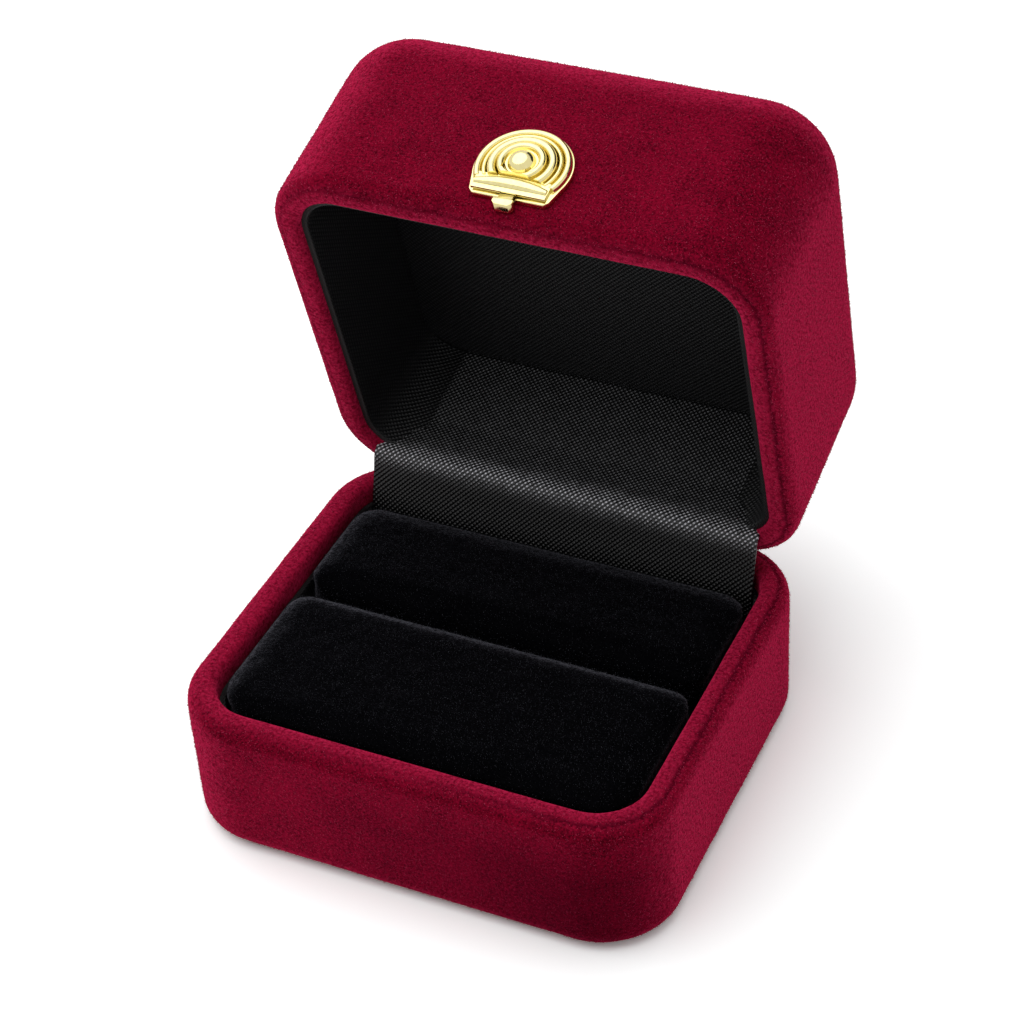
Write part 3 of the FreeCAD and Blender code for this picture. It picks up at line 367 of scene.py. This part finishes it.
def planInset(x, y):
    # how far a point lies inside the box's plan, in millimetres, and the way inwards
    outX = abs(x) - (boxSizes["width"] / 2 - boxSizes["corner"])
    outY = abs(y) - (boxSizes["depth"] / 2 - boxSizes["corner"])
    if outX > 0 and outY > 0:
        reach = math.hypot(outX, outY)
        inward = Vector((-math.copysign(outX, x), -math.copysign(outY, y), 0)) / reach
    elif outX > outY:
        reach = outX
        inward = Vector((-math.copysign(1, x), 0, 0))
    else:
        reach = outY
        inward = Vector((0, -math.copysign(1, y), 0))
    return boxSizes["corner"] - reach, inward


def setValues(mesh, name, values):
    mesh.attributes.new(name, "FLOAT", "POINT").data.foreach_set("value", values)


# seeds of the nap and the spread of its lengths
napLook = {"spotSeed": 7, "tiltSeed": 3, "sizeSeed": 5, "shortest": 0.6, "longest": 1.2}


# short fibres standing on a velvet surface, thick where its napShare is one
def makeNapTree():
    tree = bpy.data.node_groups.new("velvetNap", "GeometryNodeTree")
    tree.interface.new_socket("Geometry", in_out="INPUT", socket_type="NodeSocketGeometry")
    for name in ("Density", "Length", "Radius", "Lean"):
        tree.interface.new_socket(name, in_out="INPUT", socket_type="NodeSocketFloat")
    tree.interface.new_socket("Fibre", in_out="INPUT", socket_type="NodeSocketMaterial")
    tree.interface.new_socket("Geometry", in_out="OUTPUT", socket_type="NodeSocketGeometry")
    given = addNode(tree, "NodeGroupInput").outputs
    share = addNode(tree, "GeometryNodeInputNamedAttribute", {"Name": "napShare"}, data_type="FLOAT")
    density = addNode(tree, "ShaderNodeMath", {
        0: share.outputs["Attribute"], 1: given["Density"]}, operation="MULTIPLY")
    spots = addNode(tree, "GeometryNodeDistributePointsOnFaces", {
        "Mesh": given["Geometry"], "Density": density.outputs[0], "Seed": napLook["spotSeed"]})
    fibre = addNode(tree, "GeometryNodeMeshCone", {
        "Vertices": 3, "Side Segments": 1, "Radius Top": 0.0, "Radius Bottom": given["Radius"],
        "Depth": given["Length"]}, fill_type="NGON")
    least = addNode(tree, "ShaderNodeMath", {0: given["Lean"], 1: -1.0}, operation="MULTIPLY")
    low = addNode(tree, "ShaderNodeCombineXYZ", {"X": least.outputs[0], "Y": least.outputs[0], "Z": 0.0})
    high = addNode(tree, "ShaderNodeCombineXYZ", {"X": given["Lean"], "Y": given["Lean"], "Z": math.tau})
    tilt = addNode(tree, "FunctionNodeRandomValue", {
        0: low.outputs[0], 1: high.outputs[0], "Seed": napLook["tiltSeed"]}, data_type="FLOAT_VECTOR")
    turned = addNode(tree, "FunctionNodeRotateRotation", {
        "Rotation": spots.outputs["Rotation"], "Rotate By": tilt.outputs[0]}, rotation_space="LOCAL")
    size = addNode(tree, "FunctionNodeRandomValue", {
        2: napLook["shortest"], 3: napLook["longest"], "Seed": napLook["sizeSeed"]}, data_type="FLOAT")
    stood = addNode(tree, "GeometryNodeInstanceOnPoints", {
        "Points": spots.outputs["Points"], "Instance": fibre.outputs["Mesh"],
        "Rotation": turned.outputs[0], "Scale": size.outputs[1]})
    real = addNode(tree, "GeometryNodeRealizeInstances", {"Geometry": stood.outputs["Instances"]})
    dyed = addNode(tree, "GeometryNodeSetMaterial", {
        "Geometry": real.outputs["Geometry"], "Material": given["Fibre"]})
    addNode(tree, "NodeGroupOutput", {"Geometry": dyed.outputs["Geometry"]})
    return tree


napTree = makeNapTree()


def growNap(name, cover, material, body, setup):
    item = meshPiece(name, cover.data.copy(), material)
    fibres = item.modifiers.new("nap", "NODES")
    fibres.node_group = napTree
    chosen = {
        "Density": setup["fibresPerMm2"] * mm2InM2, "Length": setup["fibreMm"] * mm,
        "Radius": setup["fibreRadiusMm"] * mm, "Lean": math.radians(setup["lean"]), "Fibre": material,
    }
    for socket in napTree.interface.items_tree:
        if socket.in_out == "INPUT" and socket.name in chosen:
            fibres[socket.identifier] = chosen[socket.name]
    bakeModifiers(item)
    shadeSmooth(item.data)
    print(name, len(item.data.polygons), "faces")
    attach(item, body)


# crimson velvet drawn over the two shells, its rim flat on top with a crease at the shoulder, dented and
# darkened with painted shade, both growing towards the right
# the base's front is also darkened with painted shade, more towards the right
velvetCover = {
    "voxelMm": 0.5, "smoothing": 2, "swellMm": 0.04, "swellSizeMm": 5.0, "napMm": 0.015, "napSizeMm": 0.8,
    "rimMm": 3.8, "rimRound": 1.8, "rimTight": 0.9, "sheetMm": 0.45,
    "creaseMm": 0.2, "creaseWidthMm": 0.45, "creaseInsetMm": 1.3, "rimDeepMm": 2.5,
    "creaseMark": 3.0, "markReach": 2.0, "unmarked": 1.0, "claspHigh": 28.0, "claspReach": 6.4,
    "bareBelow": 0.8, "creaseGrowFrom": -5.0, "creaseGrowRun": 30.0,
    "frontShadeFrom": -15.0, "frontShadeRun": 40.0, "frontShadeTop": 19.5, "frontShadeFade": 8.0,
    "fibresPerMm2": 4.2, "fibreMm": 0.26, "fibreRadiusMm": 0.04, "lean": 50.0,
}


def fillEdge(ray, wide, tight, sheet):
    # fills a rounded edge out to a tighter round; ray runs from the centre of the old round
    if min(ray) <= 0 or ray.length < wide - sheet:
        return Vector((0, 0))
    along = ray.normalized()
    flat = wide / max(along)
    middle = Vector((wide - tight, wide - tight))
    if min(along) * flat > wide - tight:
        part = along.dot(middle)
        flat = part + math.sqrt(part * part - middle.length_squared + tight * tight)
    return along * (flat - wide)


def coverPiece(name, nodeName, body, place, rimHeight, rimSide, middleHigh, leastCrease, frontShadeShare, setup):
    mesh = nodeCopy(nodeName)
    mesh.transform(place.inverted())
    item = meshPiece(name, mesh, crimsonVelvet)
    remesh = item.modifiers.new("even", "REMESH")
    remesh.mode = "VOXEL"
    remesh.voxel_size = setup["voxelMm"] * mm
    relax = item.modifiers.new("relax", "SMOOTH")
    relax.iterations = setup["smoothing"]
    bakeModifiers(item)
    mesh = item.data
    normals = [vertex.normal.copy() for vertex in mesh.vertices]
    sides = []
    creaseStrength = []
    shares = []
    paintedFrontShade = []
    for vertex, normal in zip(mesh.vertices, normals):
        point = vertex.co / mm
        inset, inward = planInset(point.x, point.y)
        drop = (rimHeight - point.z) * rimSide
        ray = Vector((inset - setup["rimMm"] + setup["rimRound"], setup["rimRound"] - drop))
        filled = fillEdge(ray, setup["rimRound"], setup["rimTight"], setup["sheetMm"])
        outward = normal.dot(point - Vector((0, 0, middleHigh))) > 0
        across = inset - setup["creaseInsetMm"]
        onRim = drop < setup["rimDeepMm"]
        mark = setup["creaseMark"] + min(max(across, -setup["markReach"]), setup["markReach"])
        sides.append(mark if onRim else setup["unmarked"])
        onClasp = point.y < 0 and math.hypot(point.x, point.z - setup["claspHigh"]) < setup["claspReach"]
        shares.append(0.0 if onClasp or point.z < setup["bareBelow"] else float(outward))
        move = noise.noise(point / setup["swellSizeMm"]) * setup["swellMm"]
        move += noise.noise(point / setup["napSizeMm"]) * setup["napMm"]
        # the crease's dent and its painted shade grow towards the right
        rightward = (point.x - setup["creaseGrowFrom"]) / setup["creaseGrowRun"]  # most on the right
        creaseStrength.append(max(leastCrease, min(rightward, 1)))
        # painted shade on the base's front: faces turned to the front, growing towards the right and fading
        # out upwards
        shadedFront = min(max((point.x - setup["frontShadeFrom"]) / setup["frontShadeRun"], 0), 1) * max(-normal.y, 0)
        below = min(max((setup["frontShadeTop"] - point.z) / setup["frontShadeFade"], 0), 1)
        paintedFrontShade.append(frontShadeShare * shadedFront * below)
        if onRim and outward:
            move -= creaseStrength[-1] * setup["creaseMm"] * math.exp(-(across / setup["creaseWidthMm"]) ** 2)
        point += normal * move + inward * filled.x + Vector((0, 0, rimSide * filled.y))
        vertex.co = point * mm
    setValues(mesh, "creaseSide", sides)
    setValues(mesh, "creaseShadeStrength", creaseStrength)
    setValues(mesh, "napShare", shares)
    setValues(mesh, "paintedFrontShade", paintedFrontShade)
    mesh.transform(place)
    shadeSmooth(mesh)
    mesh.materials.clear()
    mesh.materials.append(crimsonVelvet)
    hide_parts(nodeName)
    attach(item, body)
    growNap(name + "Nap", item, crimsonPile, body, setup)


coverPiece(
    "crimsonBaseCover", "base_velvet_cover", "base", levelPlace, rimHeight=boxSizes["baseHigh"], rimSide=1,
    middleHigh=12.0, leastCrease=0.15, frontShadeShare=0.6, setup=velvetCover)
coverPiece(
    "crimsonLidCover", "lid_velvet_cover", "lid", openLid, rimHeight=boxSizes["lidLow"], rimSide=-1,
    middleHigh=33.0, leastCrease=0.6, frontShadeShare=0.0, setup=velvetCover)
print("velvet covers drawn over the shells")


# ring cushion: two foam pads swollen into black velvet skins
ringPads = {
    "voxelMm": 0.75, "scaleUp": 20.0, "pressure": 4.0, "frames": 20, "skinMm": 0.4, "capMm": 0.35,
    "pinBelowMm": 1.6, "napMm": 0.04, "napSizeMm": 1.4, "napAbove": 0.0155,
    "foldLow": 16.9, "foldHigh": 19.2, "topHigh": 19.8, "overLow": 17.15, "overRun": 0.45, "overMm": 1.0,
    "fibresPerMm2": 6.0, "fibreMm": 0.3, "fibreRadiusMm": 0.035, "lean": 40.0,
}


def swollenPad(name, foamNode, skinNode, setup):
    mesh = nodeCopy(foamNode)
    item = meshPiece(name, mesh, blackVelvet)
    remesh = item.modifiers.new("even", "REMESH")
    remesh.mode = "VOXEL"
    remesh.voxel_size = setup["voxelMm"] * mm
    bakeModifiers(item)
    mesh = item.data
    pushOut(mesh, [setup["skinMm"] * mm] * len(mesh.vertices))
    grow = setup["scaleUp"]  # cloth works badly at millimetre sizes
    rest = [vertex.co.copy() for vertex in mesh.vertices]
    outward = [vertex.normal.copy() for vertex in mesh.vertices]
    floor = min(point.z for point in rest)
    mesh.transform(Matrix.Scale(grow, 4))
    pinned = item.vertex_groups.new(name="foot")
    pinned.add([n for n, p in enumerate(rest) if p.z < floor + setup["pinBelowMm"] * mm], 1.0, "REPLACE")
    cloth = item.modifiers.new("swell", "CLOTH")
    cloth.settings.vertex_group_mass = "foot"
    cloth.settings.use_pressure = True
    cloth.settings.uniform_pressure_force = setup["pressure"]
    cloth.settings.effector_weights.gravity = 0
    for step in range(1, setup["frames"] + 1):
        scene.frame_set(step)
    bakeModifiers(item)
    scene.frame_set(1)
    mesh = item.data
    mesh.transform(Matrix.Scale(1 / grow, 4))
    cap = setup["capMm"] * mm
    low, high = (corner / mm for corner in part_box(skinNode))
    for vertex, start, normal in zip(mesh.vertices, rest, outward):
        swell = min(max((vertex.co - start).dot(normal), 0), cap)
        point = (start + normal * swell) / mm
        for i in range(3):
            point[i] = min(max(point[i], low[i]), high[i])
        over = setup["overMm"] * min(max((point.z - setup["overLow"]) / setup["overRun"], 0), 1)
        point.x *= 1 + over / high.x  # squeezed out over the lining
        if low.y < 0:
            point.y -= over * (high.y - point.y) / (high.y - low.y)
        fold = (point.z - setup["foldLow"]) / (setup["foldHigh"] - setup["foldLow"])
        if fold > 0:
            point.z = setup["foldLow"] + (setup["topHigh"] - setup["foldLow"]) * fold * (2 - fold)
        vertex.co = point * mm
    fine = item.modifiers.new("fine", "SUBSURF")
    fine.levels = 1
    fine.render_levels = 1
    bakeModifiers(item)
    mesh = item.data
    moves = [noise.noise(v.co / mm / setup["napSizeMm"]) * setup["napMm"] * mm for v in mesh.vertices]
    pushOut(mesh, moves)
    shares = [float(v.normal.z > 0 and v.co.z > setup["napAbove"]) for v in mesh.vertices]
    setValues(mesh, "napShare", shares)
    shadeSmooth(mesh)
    mesh.materials.clear()
    mesh.materials.append(blackVelvet)
    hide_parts(foamNode, skinNode)
    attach(item, "base")
    growNap(name + "Nap", item, blackPile, "base", setup)


swollenPad("frontPad", "front_pad_foam", "front_pad_velvet", ringPads)
swollenPad("rearPad", "rear_pad_foam", "rear_pad_velvet", ringPads)
print("pads swollen")


def gridMesh(name, rows, uvRows, toneAndPaintedLight):
    # quads between rows of points; points and uvRows are in millimetres, and the last argument gives one
    # thread tone a row, which on the flap carries painted highlight and shade
    mesh = bpy.data.meshes.new(name)
    count = len(rows[0])
    points = [Vector(p) * mm for row in rows for p in row]
    faces = []
    corners = []
    for r in range(len(rows) - 1):
        for c in range(count - 1):
            quad = ((r, c), (r, c + 1), (r + 1, c + 1), (r + 1, c))
            faces.append([a * count + b for a, b in quad])
            corners.extend(uvRows[a][b] for a, b in quad)
    mesh.from_pydata(points, [], faces)
    layer = mesh.uv_layers.new(name="cloth")
    for data, uv in zip(layer.data, corners):
        data.uv = uv
    setValues(mesh, "toneAndPaintedLight", [value for value in toneAndPaintedLight for _ in range(count)])
    mesh.update()
    return mesh


# woven flap over the hinge, from the lid's back wall to behind the rear pad
hingeFlap = {
    "route": ((41.42, 29.278), (29.40, 26.057), (22.0, 25.4), (20.05, 17.4), (20.05, 5.0)),
    "radii": (6.0, 1.4, 6.0), "wallHalf": 22.5, "crestHalf": 26.8, "stepAt": 1.4, "thickness": 0.4,
    "spacing": 0.45, "waveMm": 0.1, "wallThreadTone": 0.45, "footPaintedShade": 0.02, "crestPaintedHighlight": 2.7,
    "crestRun": 19.2, "crestWide": 1.5, "crestY": 22.0, "crestPull": 0.2, "bendSteps": 12, "columns": 112,
    "stepRun": 0.8, "waveWide": 7.0, "waveLong": 5.0,
    "lidEnd": (0, 0.0282, 0.0258), "baseEnd": (0, 0.0206, 0.0212),
}


def flapLine(setup):
    # points along the route with its bends rounded
    route = [Vector(p) for p in setup["route"]]
    line = [route[0]]
    for before, corner, after, radius in zip(route, route[1:], route[2:], setup["radii"]):
        back = (before - corner).normalized()
        ahead = (after - corner).normalized()
        half = back.angle(ahead) / 2
        reach = radius / math.tan(half)
        leave, arrive = corner + back * reach, corner + ahead * reach
        for n in range(setup["bendSteps"] + 1):
            t = n / setup["bendSteps"]
            line.append(leave * (1 - t) ** 2 + corner * 2 * t * (1 - t) + arrive * t * t)
    line.append(route[-1])
    dense = [line[0]]
    for a, b in zip(line, line[1:]):
        steps = max(1, round((b - a).length / setup["spacing"]))
        dense.extend(a.lerp(b, (n + 1) / steps) for n in range(steps))
    return dense


def buildFlap(setup):
    line = flapLine(setup)
    heights = [point.y - setup["crestPull"] * abs(point.x - setup["crestY"]) for point in line]
    crest = heights.index(max(heights))
    rows = []
    uvRows = []
    toneAndPaintedLight = []
    run = 0.0
    count = setup["columns"]
    for n, point in enumerate(line):
        if n:
            run += (point - line[n - 1]).length
        toCrest = 0.0
        if n < crest:
            toCrest = sum((b - a).length for a, b in zip(line[n:crest], line[n + 1:crest + 1]))
        widen = 1 - min(max((toCrest - setup["stepAt"]) / setup["stepRun"], 0.0), 1.0)
        half = setup["wallHalf"] + (setup["crestHalf"] - setup["wallHalf"]) * widen
        ahead = (line[min(n + 1, len(line) - 1)] - line[max(n - 1, 0)]).normalized()
        side = Vector((-ahead.y, ahead.x))
        # painted highlight on the threads along the crest of the fold, painted shade at the foot behind the
        # rear pad
        away = (run - setup["crestRun"]) / setup["crestWide"]
        plain = setup["wallThreadTone"] if away < 0 else setup["footPaintedShade"]
        toneAndPaintedLight.append(plain + (setup["crestPaintedHighlight"] - plain) * math.exp(-away * away))
        row = []
        uvRow = []
        for c in range(count + 1):
            x = half * (2 * c / count - 1)
            wave = noise.noise((x / setup["waveWide"], run / setup["waveLong"], 0.0)) * setup["waveMm"]
            spot = point + side * wave
            row.append((x, spot.x, spot.y))
            uvRow.append((x, run))
        rows.append(row)
        uvRows.append(uvRow)
    mesh = gridMesh("hingeFlap", rows, uvRows, toneAndPaintedLight)
    item = meshPiece("hingeFlap", mesh, flapWeave)
    wall = item.modifiers.new("thickness", "SOLIDIFY")
    wall.thickness = setup["thickness"] * mm
    wall.offset = 0.0
    bakeModifiers(item)
    shadeSmooth(item.data)
    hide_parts("hinge_flap")
    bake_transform(item)


buildFlap(hingeFlap)
print("flap hung")


# woven linings on board: round the walls of the base and the lid
wallLinings = {
    "outerInset": 3.8, "innerInset": 4.6, "edgeRound": 0.3, "edgeMid": 0.1, "step": 0.9, "toneAndPaintedLight": 0.035,
}
planCorners = {"leastRadius": 0.05, "steps": 12}


def planLoop(inset, gapHalf, step):
    # points round the plan from the middle of the back, with a gap there if gapHalf is over nought
    halfX = boxSizes["width"] / 2 - inset
    halfY = boxSizes["depth"] / 2 - inset
    radius = max(boxSizes["corner"] - inset, planCorners["leastRadius"])
    points = []

    def straight(a, b):
        count = max(1, round((Vector(b) - Vector(a)).length / step))
        points.extend(Vector(a).lerp(Vector(b), n / count) for n in range(count))

    def corner(cx, cy, start):
        for n in range(planCorners["steps"]):
            turn = math.radians(start - 90 * n / planCorners["steps"])
            points.append(Vector((cx + radius * math.cos(turn), cy + radius * math.sin(turn))))

    innerX, innerY = halfX - radius, halfY - radius
    straight((gapHalf, halfY), (innerX, halfY))
    corner(innerX, innerY, 90)
    straight((halfX, innerY), (halfX, -innerY))
    corner(innerX, -innerY, 0)
    straight((innerX, -halfY), (-innerX, -halfY))
    corner(-innerX, -innerY, -90)
    straight((-halfX, -innerY), (-halfX, innerY))
    corner(-innerX, innerY, 180)
    straight((-innerX, halfY), (-gapHalf, halfY))
    points.append(Vector((-gapHalf, halfY)))
    return points


def closeShell(mesh, weld=1e-6):
    # joins where rows meet, fills what is open and turns the faces outwards
    shape = bmesh.new()
    shape.from_mesh(mesh)
    bmesh.ops.remove_doubles(shape, verts=shape.verts, dist=weld)
    bmesh.ops.holes_fill(shape, edges=shape.edges, sides=0)
    bmesh.ops.recalc_face_normals(shape, faces=shape.faces)
    shape.to_mesh(mesh)
    shape.free()


def liningPiece(name, nodeName, low, high, gapHalf, place, setup):
    outer, inner, edge, mid = (setup[key] for key in ("outerInset", "innerInset", "edgeRound", "edgeMid"))
    section = [(outer, low), (outer, high - edge), (outer + mid, high - mid), (outer + edge, high)]
    section += [(inner - edge, high), (inner - mid, high - mid), (inner, high - edge), (inner, low + edge)]
    section += [(inner - mid, low + mid), (inner - edge, low), (outer, low)]
    rows = []
    uvRows = []
    across = 0.0
    for n, (inset, height) in enumerate(section):
        if n:
            across += math.dist(section[n - 1], (inset, height))
        loop = planLoop(inset, gapHalf, setup["step"])
        run = 0.0
        row = []
        uvRow = []
        for c, point in enumerate(loop):
            if c:
                run += (point - loop[c - 1]).length
            row.append((point.x, point.y, height))
            uvRow.append((run, across))
        rows.append(row)
        uvRows.append(uvRow)
    mesh = gridMesh(name, rows, uvRows, [setup["toneAndPaintedLight"]] * len(rows))
    closeShell(mesh)
    mesh.transform(place)
    item = meshPiece(name, mesh, liningWeave)
    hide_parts(nodeName)
    return item


baseLining = liningPiece(
    "baseLining", "base_wall_lining", low=3.2, high=17.4, gapHalf=0.0, place=levelPlace, setup=wallLinings)
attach(baseLining, "base")
lidLining = liningPiece(
    "lidLining", "lid_wall_lining", low=21.3, high=39.5, gapHalf=22.65, place=openLid, setup=wallLinings)
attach(lidLining, "lid")


# padded board across the inside of the lid
ceilingBoard = {
    "inset": 3.05, "low": 39.5, "high": 40.7, "bulge": 0.35, "rings": 22, "toneAndPaintedLight": 0.04,
    "edgeRound": 0.2, "shortBy": 0.3, "ringShare": 0.985, "step": 0.9,
}


def buildCeiling(setup):
    inset, low, edge = setup["inset"], setup["low"], setup["edgeRound"]
    depth = boxSizes["depth"] / 2 - inset - setup["shortBy"]
    section = [(inset, setup["high"]), (inset, low + edge), (inset + edge, low)]
    for n in range(1, setup["rings"] + 1):
        share = n / setup["rings"]
        ring = inset + edge + depth * share * setup["ringShare"]
        section.append((ring, low - setup["bulge"] * share * (2 - share)))
    outline = planLoop(inset, 0.0, setup["step"])
    halfX = boxSizes["width"] / 2
    halfY = boxSizes["depth"] / 2
    rows = []
    for ring, height in section:
        shrinkX = (halfX - ring) / (halfX - inset)
        shrinkY = (halfY - ring) / (halfY - inset)
        rows.append([(point.x * shrinkX, point.y * shrinkY, height) for point in outline])
    uvRows = [[(p[0], p[1]) for p in row] for row in rows]
    mesh = gridMesh("ceilingPanel", rows, uvRows, [setup["toneAndPaintedLight"]] * len(rows))
    closeShell(mesh)
    mesh.transform(openLid)
    item = meshPiece("ceilingPanel", mesh, liningWeave)
    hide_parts("lid_ceiling_panel", "lid_ceiling_foam")
    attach(item, "lid")


buildCeiling(ceilingBoard)
print("linings fitted")


# relief clasp: the solids' own forms with softened, polished edges
claspPieces = {
    "nodes": {
        "claspPlate": "clasp_back_plate", "claspRelief": "clasp_arch", "claspDome": "clasp_dome_rivet",
        "claspBar": "clasp_bar",
    },
    "edgeMm": 0.18, "buttonEdgeMm": 0.05, "smoothBelow": 32.0, "flatBelow": 0.6,
}


def polishedPiece(name, nodeName, body, edgeMm, setup):
    mesh = nodeCopy(nodeName)
    shape = bmesh.new()
    shape.from_mesh(mesh)
    flat = math.radians(setup["flatBelow"])
    bmesh.ops.dissolve_limit(shape, angle_limit=flat, verts=shape.verts, edges=shape.edges)
    shape.to_mesh(mesh)
    shape.free()
    item = meshPiece(name, mesh, paleGold)
    bevel = item.modifiers.new("softEdge", "BEVEL")
    bevel.width = edgeMm * mm
    bevel.segments = 2
    bevel.limit_method = "ANGLE"
    bevel.angle_limit = math.radians(setup["smoothBelow"])
    bevel.use_clamp_overlap = True
    bakeModifiers(item)
    shadeSmooth(item.data)
    item.data.set_sharp_from_angle(angle=math.radians(setup["smoothBelow"]))
    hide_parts(nodeName)
    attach(item, body)


for name, nodeName in claspPieces["nodes"].items():
    polishedPiece(name, nodeName, "lid", claspPieces["edgeMm"], claspPieces)
polishedPiece("claspButton", "clasp_button", "button", claspPieces["buttonEdgeMm"], claspPieces)
print("clasp polished")

# the other solids keep their shape and get their real finish
plainNodes = {
    "base_underside_card": blackBoard, "cushion_card": blackBoard, "base_shell": mouldedShell,
    "lid_shell": mouldedShell, "hinge_base_leaf": springSteel, "hinge_lid_leaf": springSteel,
    "hinge_pin": springSteel, "hinge_spring": springSteel, "base_hinge_rivets": springSteel,
    "lid_hinge_rivets": springSteel, "clasp_washer": springSteel, "clasp_button_spring": springSteel,
}
for nodeName, material in plainNodes.items():
    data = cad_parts[nodeName].data
    data.materials.clear()
    data.materials.append(material)


# studio: a pale sweep, a large soft lamp above left and even fill
studio = {
    "floorHalf": 2.0, "floorTone": "F8F8F8", "floorSeen": (0.675, 0.69, 0.69, 1.0), "fill": 0.58,
    "keyPlace": (-0.2, 0.0, 0.62), "keySize": 1.0, "keyPower": 3.3, "keyAim": (0, 0.01, 0.03),
    "floorRough": 0.9,
    "flagCorners": ((-0.1, 0.7, 0.08), (0.7, 0.45, 0.08), (0.7, 0.45, 0.6), (-0.1, 0.7, 0.6)),
}


def buildStudio(setup):
    half = setup["floorHalf"]
    mesh = bpy.data.meshes.new("studioFloor")
    corners = [(-half, -half, 0), (half, -half, 0), (half, half, 0), (-half, half, 0)]
    mesh.from_pydata(corners, [], [(0, 1, 2, 3)])
    material, tree, shader = newMaterial("paintedFloor")
    shader.inputs["Base Color"].default_value = toLinear(setup["floorTone"])
    shader.inputs["Roughness"].default_value = setup["floorRough"]
    seen = addNode(tree, "ShaderNodeLightPath")
    bright = addNode(tree, "ShaderNodeBsdfDiffuse", {"Color": setup["floorSeen"]})
    twice = addNode(tree, "ShaderNodeAddShader", {0: bright.outputs[0], 1: bright.outputs[0]})  # overexposed
    mixed = addNode(tree, "ShaderNodeMixShader", {
        0: seen.outputs["Is Camera Ray"], 1: shader.outputs[0], 2: twice.outputs[0]})
    tree.links.new(mixed.outputs[0], tree.nodes["Material Output"].inputs["Surface"])
    floor = meshPiece("studioFloor", mesh, material)
    mesh = bpy.data.meshes.new("blackFlag")
    mesh.from_pydata(setup["flagCorners"], [], [(0, 1, 2, 3)])
    flag = meshPiece("blackFlag", mesh, blackBoard)  # gives the polished metal something dark to mirror
    flag.visible_camera = False
    flag.visible_diffuse = False
    flag.visible_shadow = False
    world = bpy.data.worlds.new("studioWorld")
    world.use_nodes = True
    scene.world = world
    tree = world.node_tree
    seen = addNode(tree, "ShaderNodeLightPath")
    direct = addNode(tree, "ShaderNodeMath", {
        0: seen.outputs["Is Camera Ray"], 1: seen.outputs["Is Glossy Ray"]}, operation="MAXIMUM")
    clear = addNode(tree, "ShaderNodeMath", {
        0: direct.outputs[0], 1: seen.outputs["Is Transmission Ray"]}, operation="MAXIMUM")
    level = addNode(tree, "ShaderNodeMapRange", {
        "Value": clear.outputs[0], "To Min": setup["fill"], "To Max": 1.0})
    sky = tree.nodes["Background"]
    sky.inputs["Color"].default_value = (1, 1, 1, 1)
    tree.links.new(level.outputs["Result"], sky.inputs["Strength"])
    lamp = bpy.data.lights.new("softBox", "AREA")
    lamp.shape = "DISK"
    lamp.size = setup["keySize"]
    lamp.energy = setup["keyPower"]
    item = bpy.data.objects.new("softBox", lamp)
    scene.collection.objects.link(item)
    place = Vector(setup["keyPlace"])
    item.location = place
    item.rotation_euler = (Vector(setup["keyAim"]) - place).to_track_quat("-Z", "Y").to_euler()


buildStudio(studio)
print("studio lit")
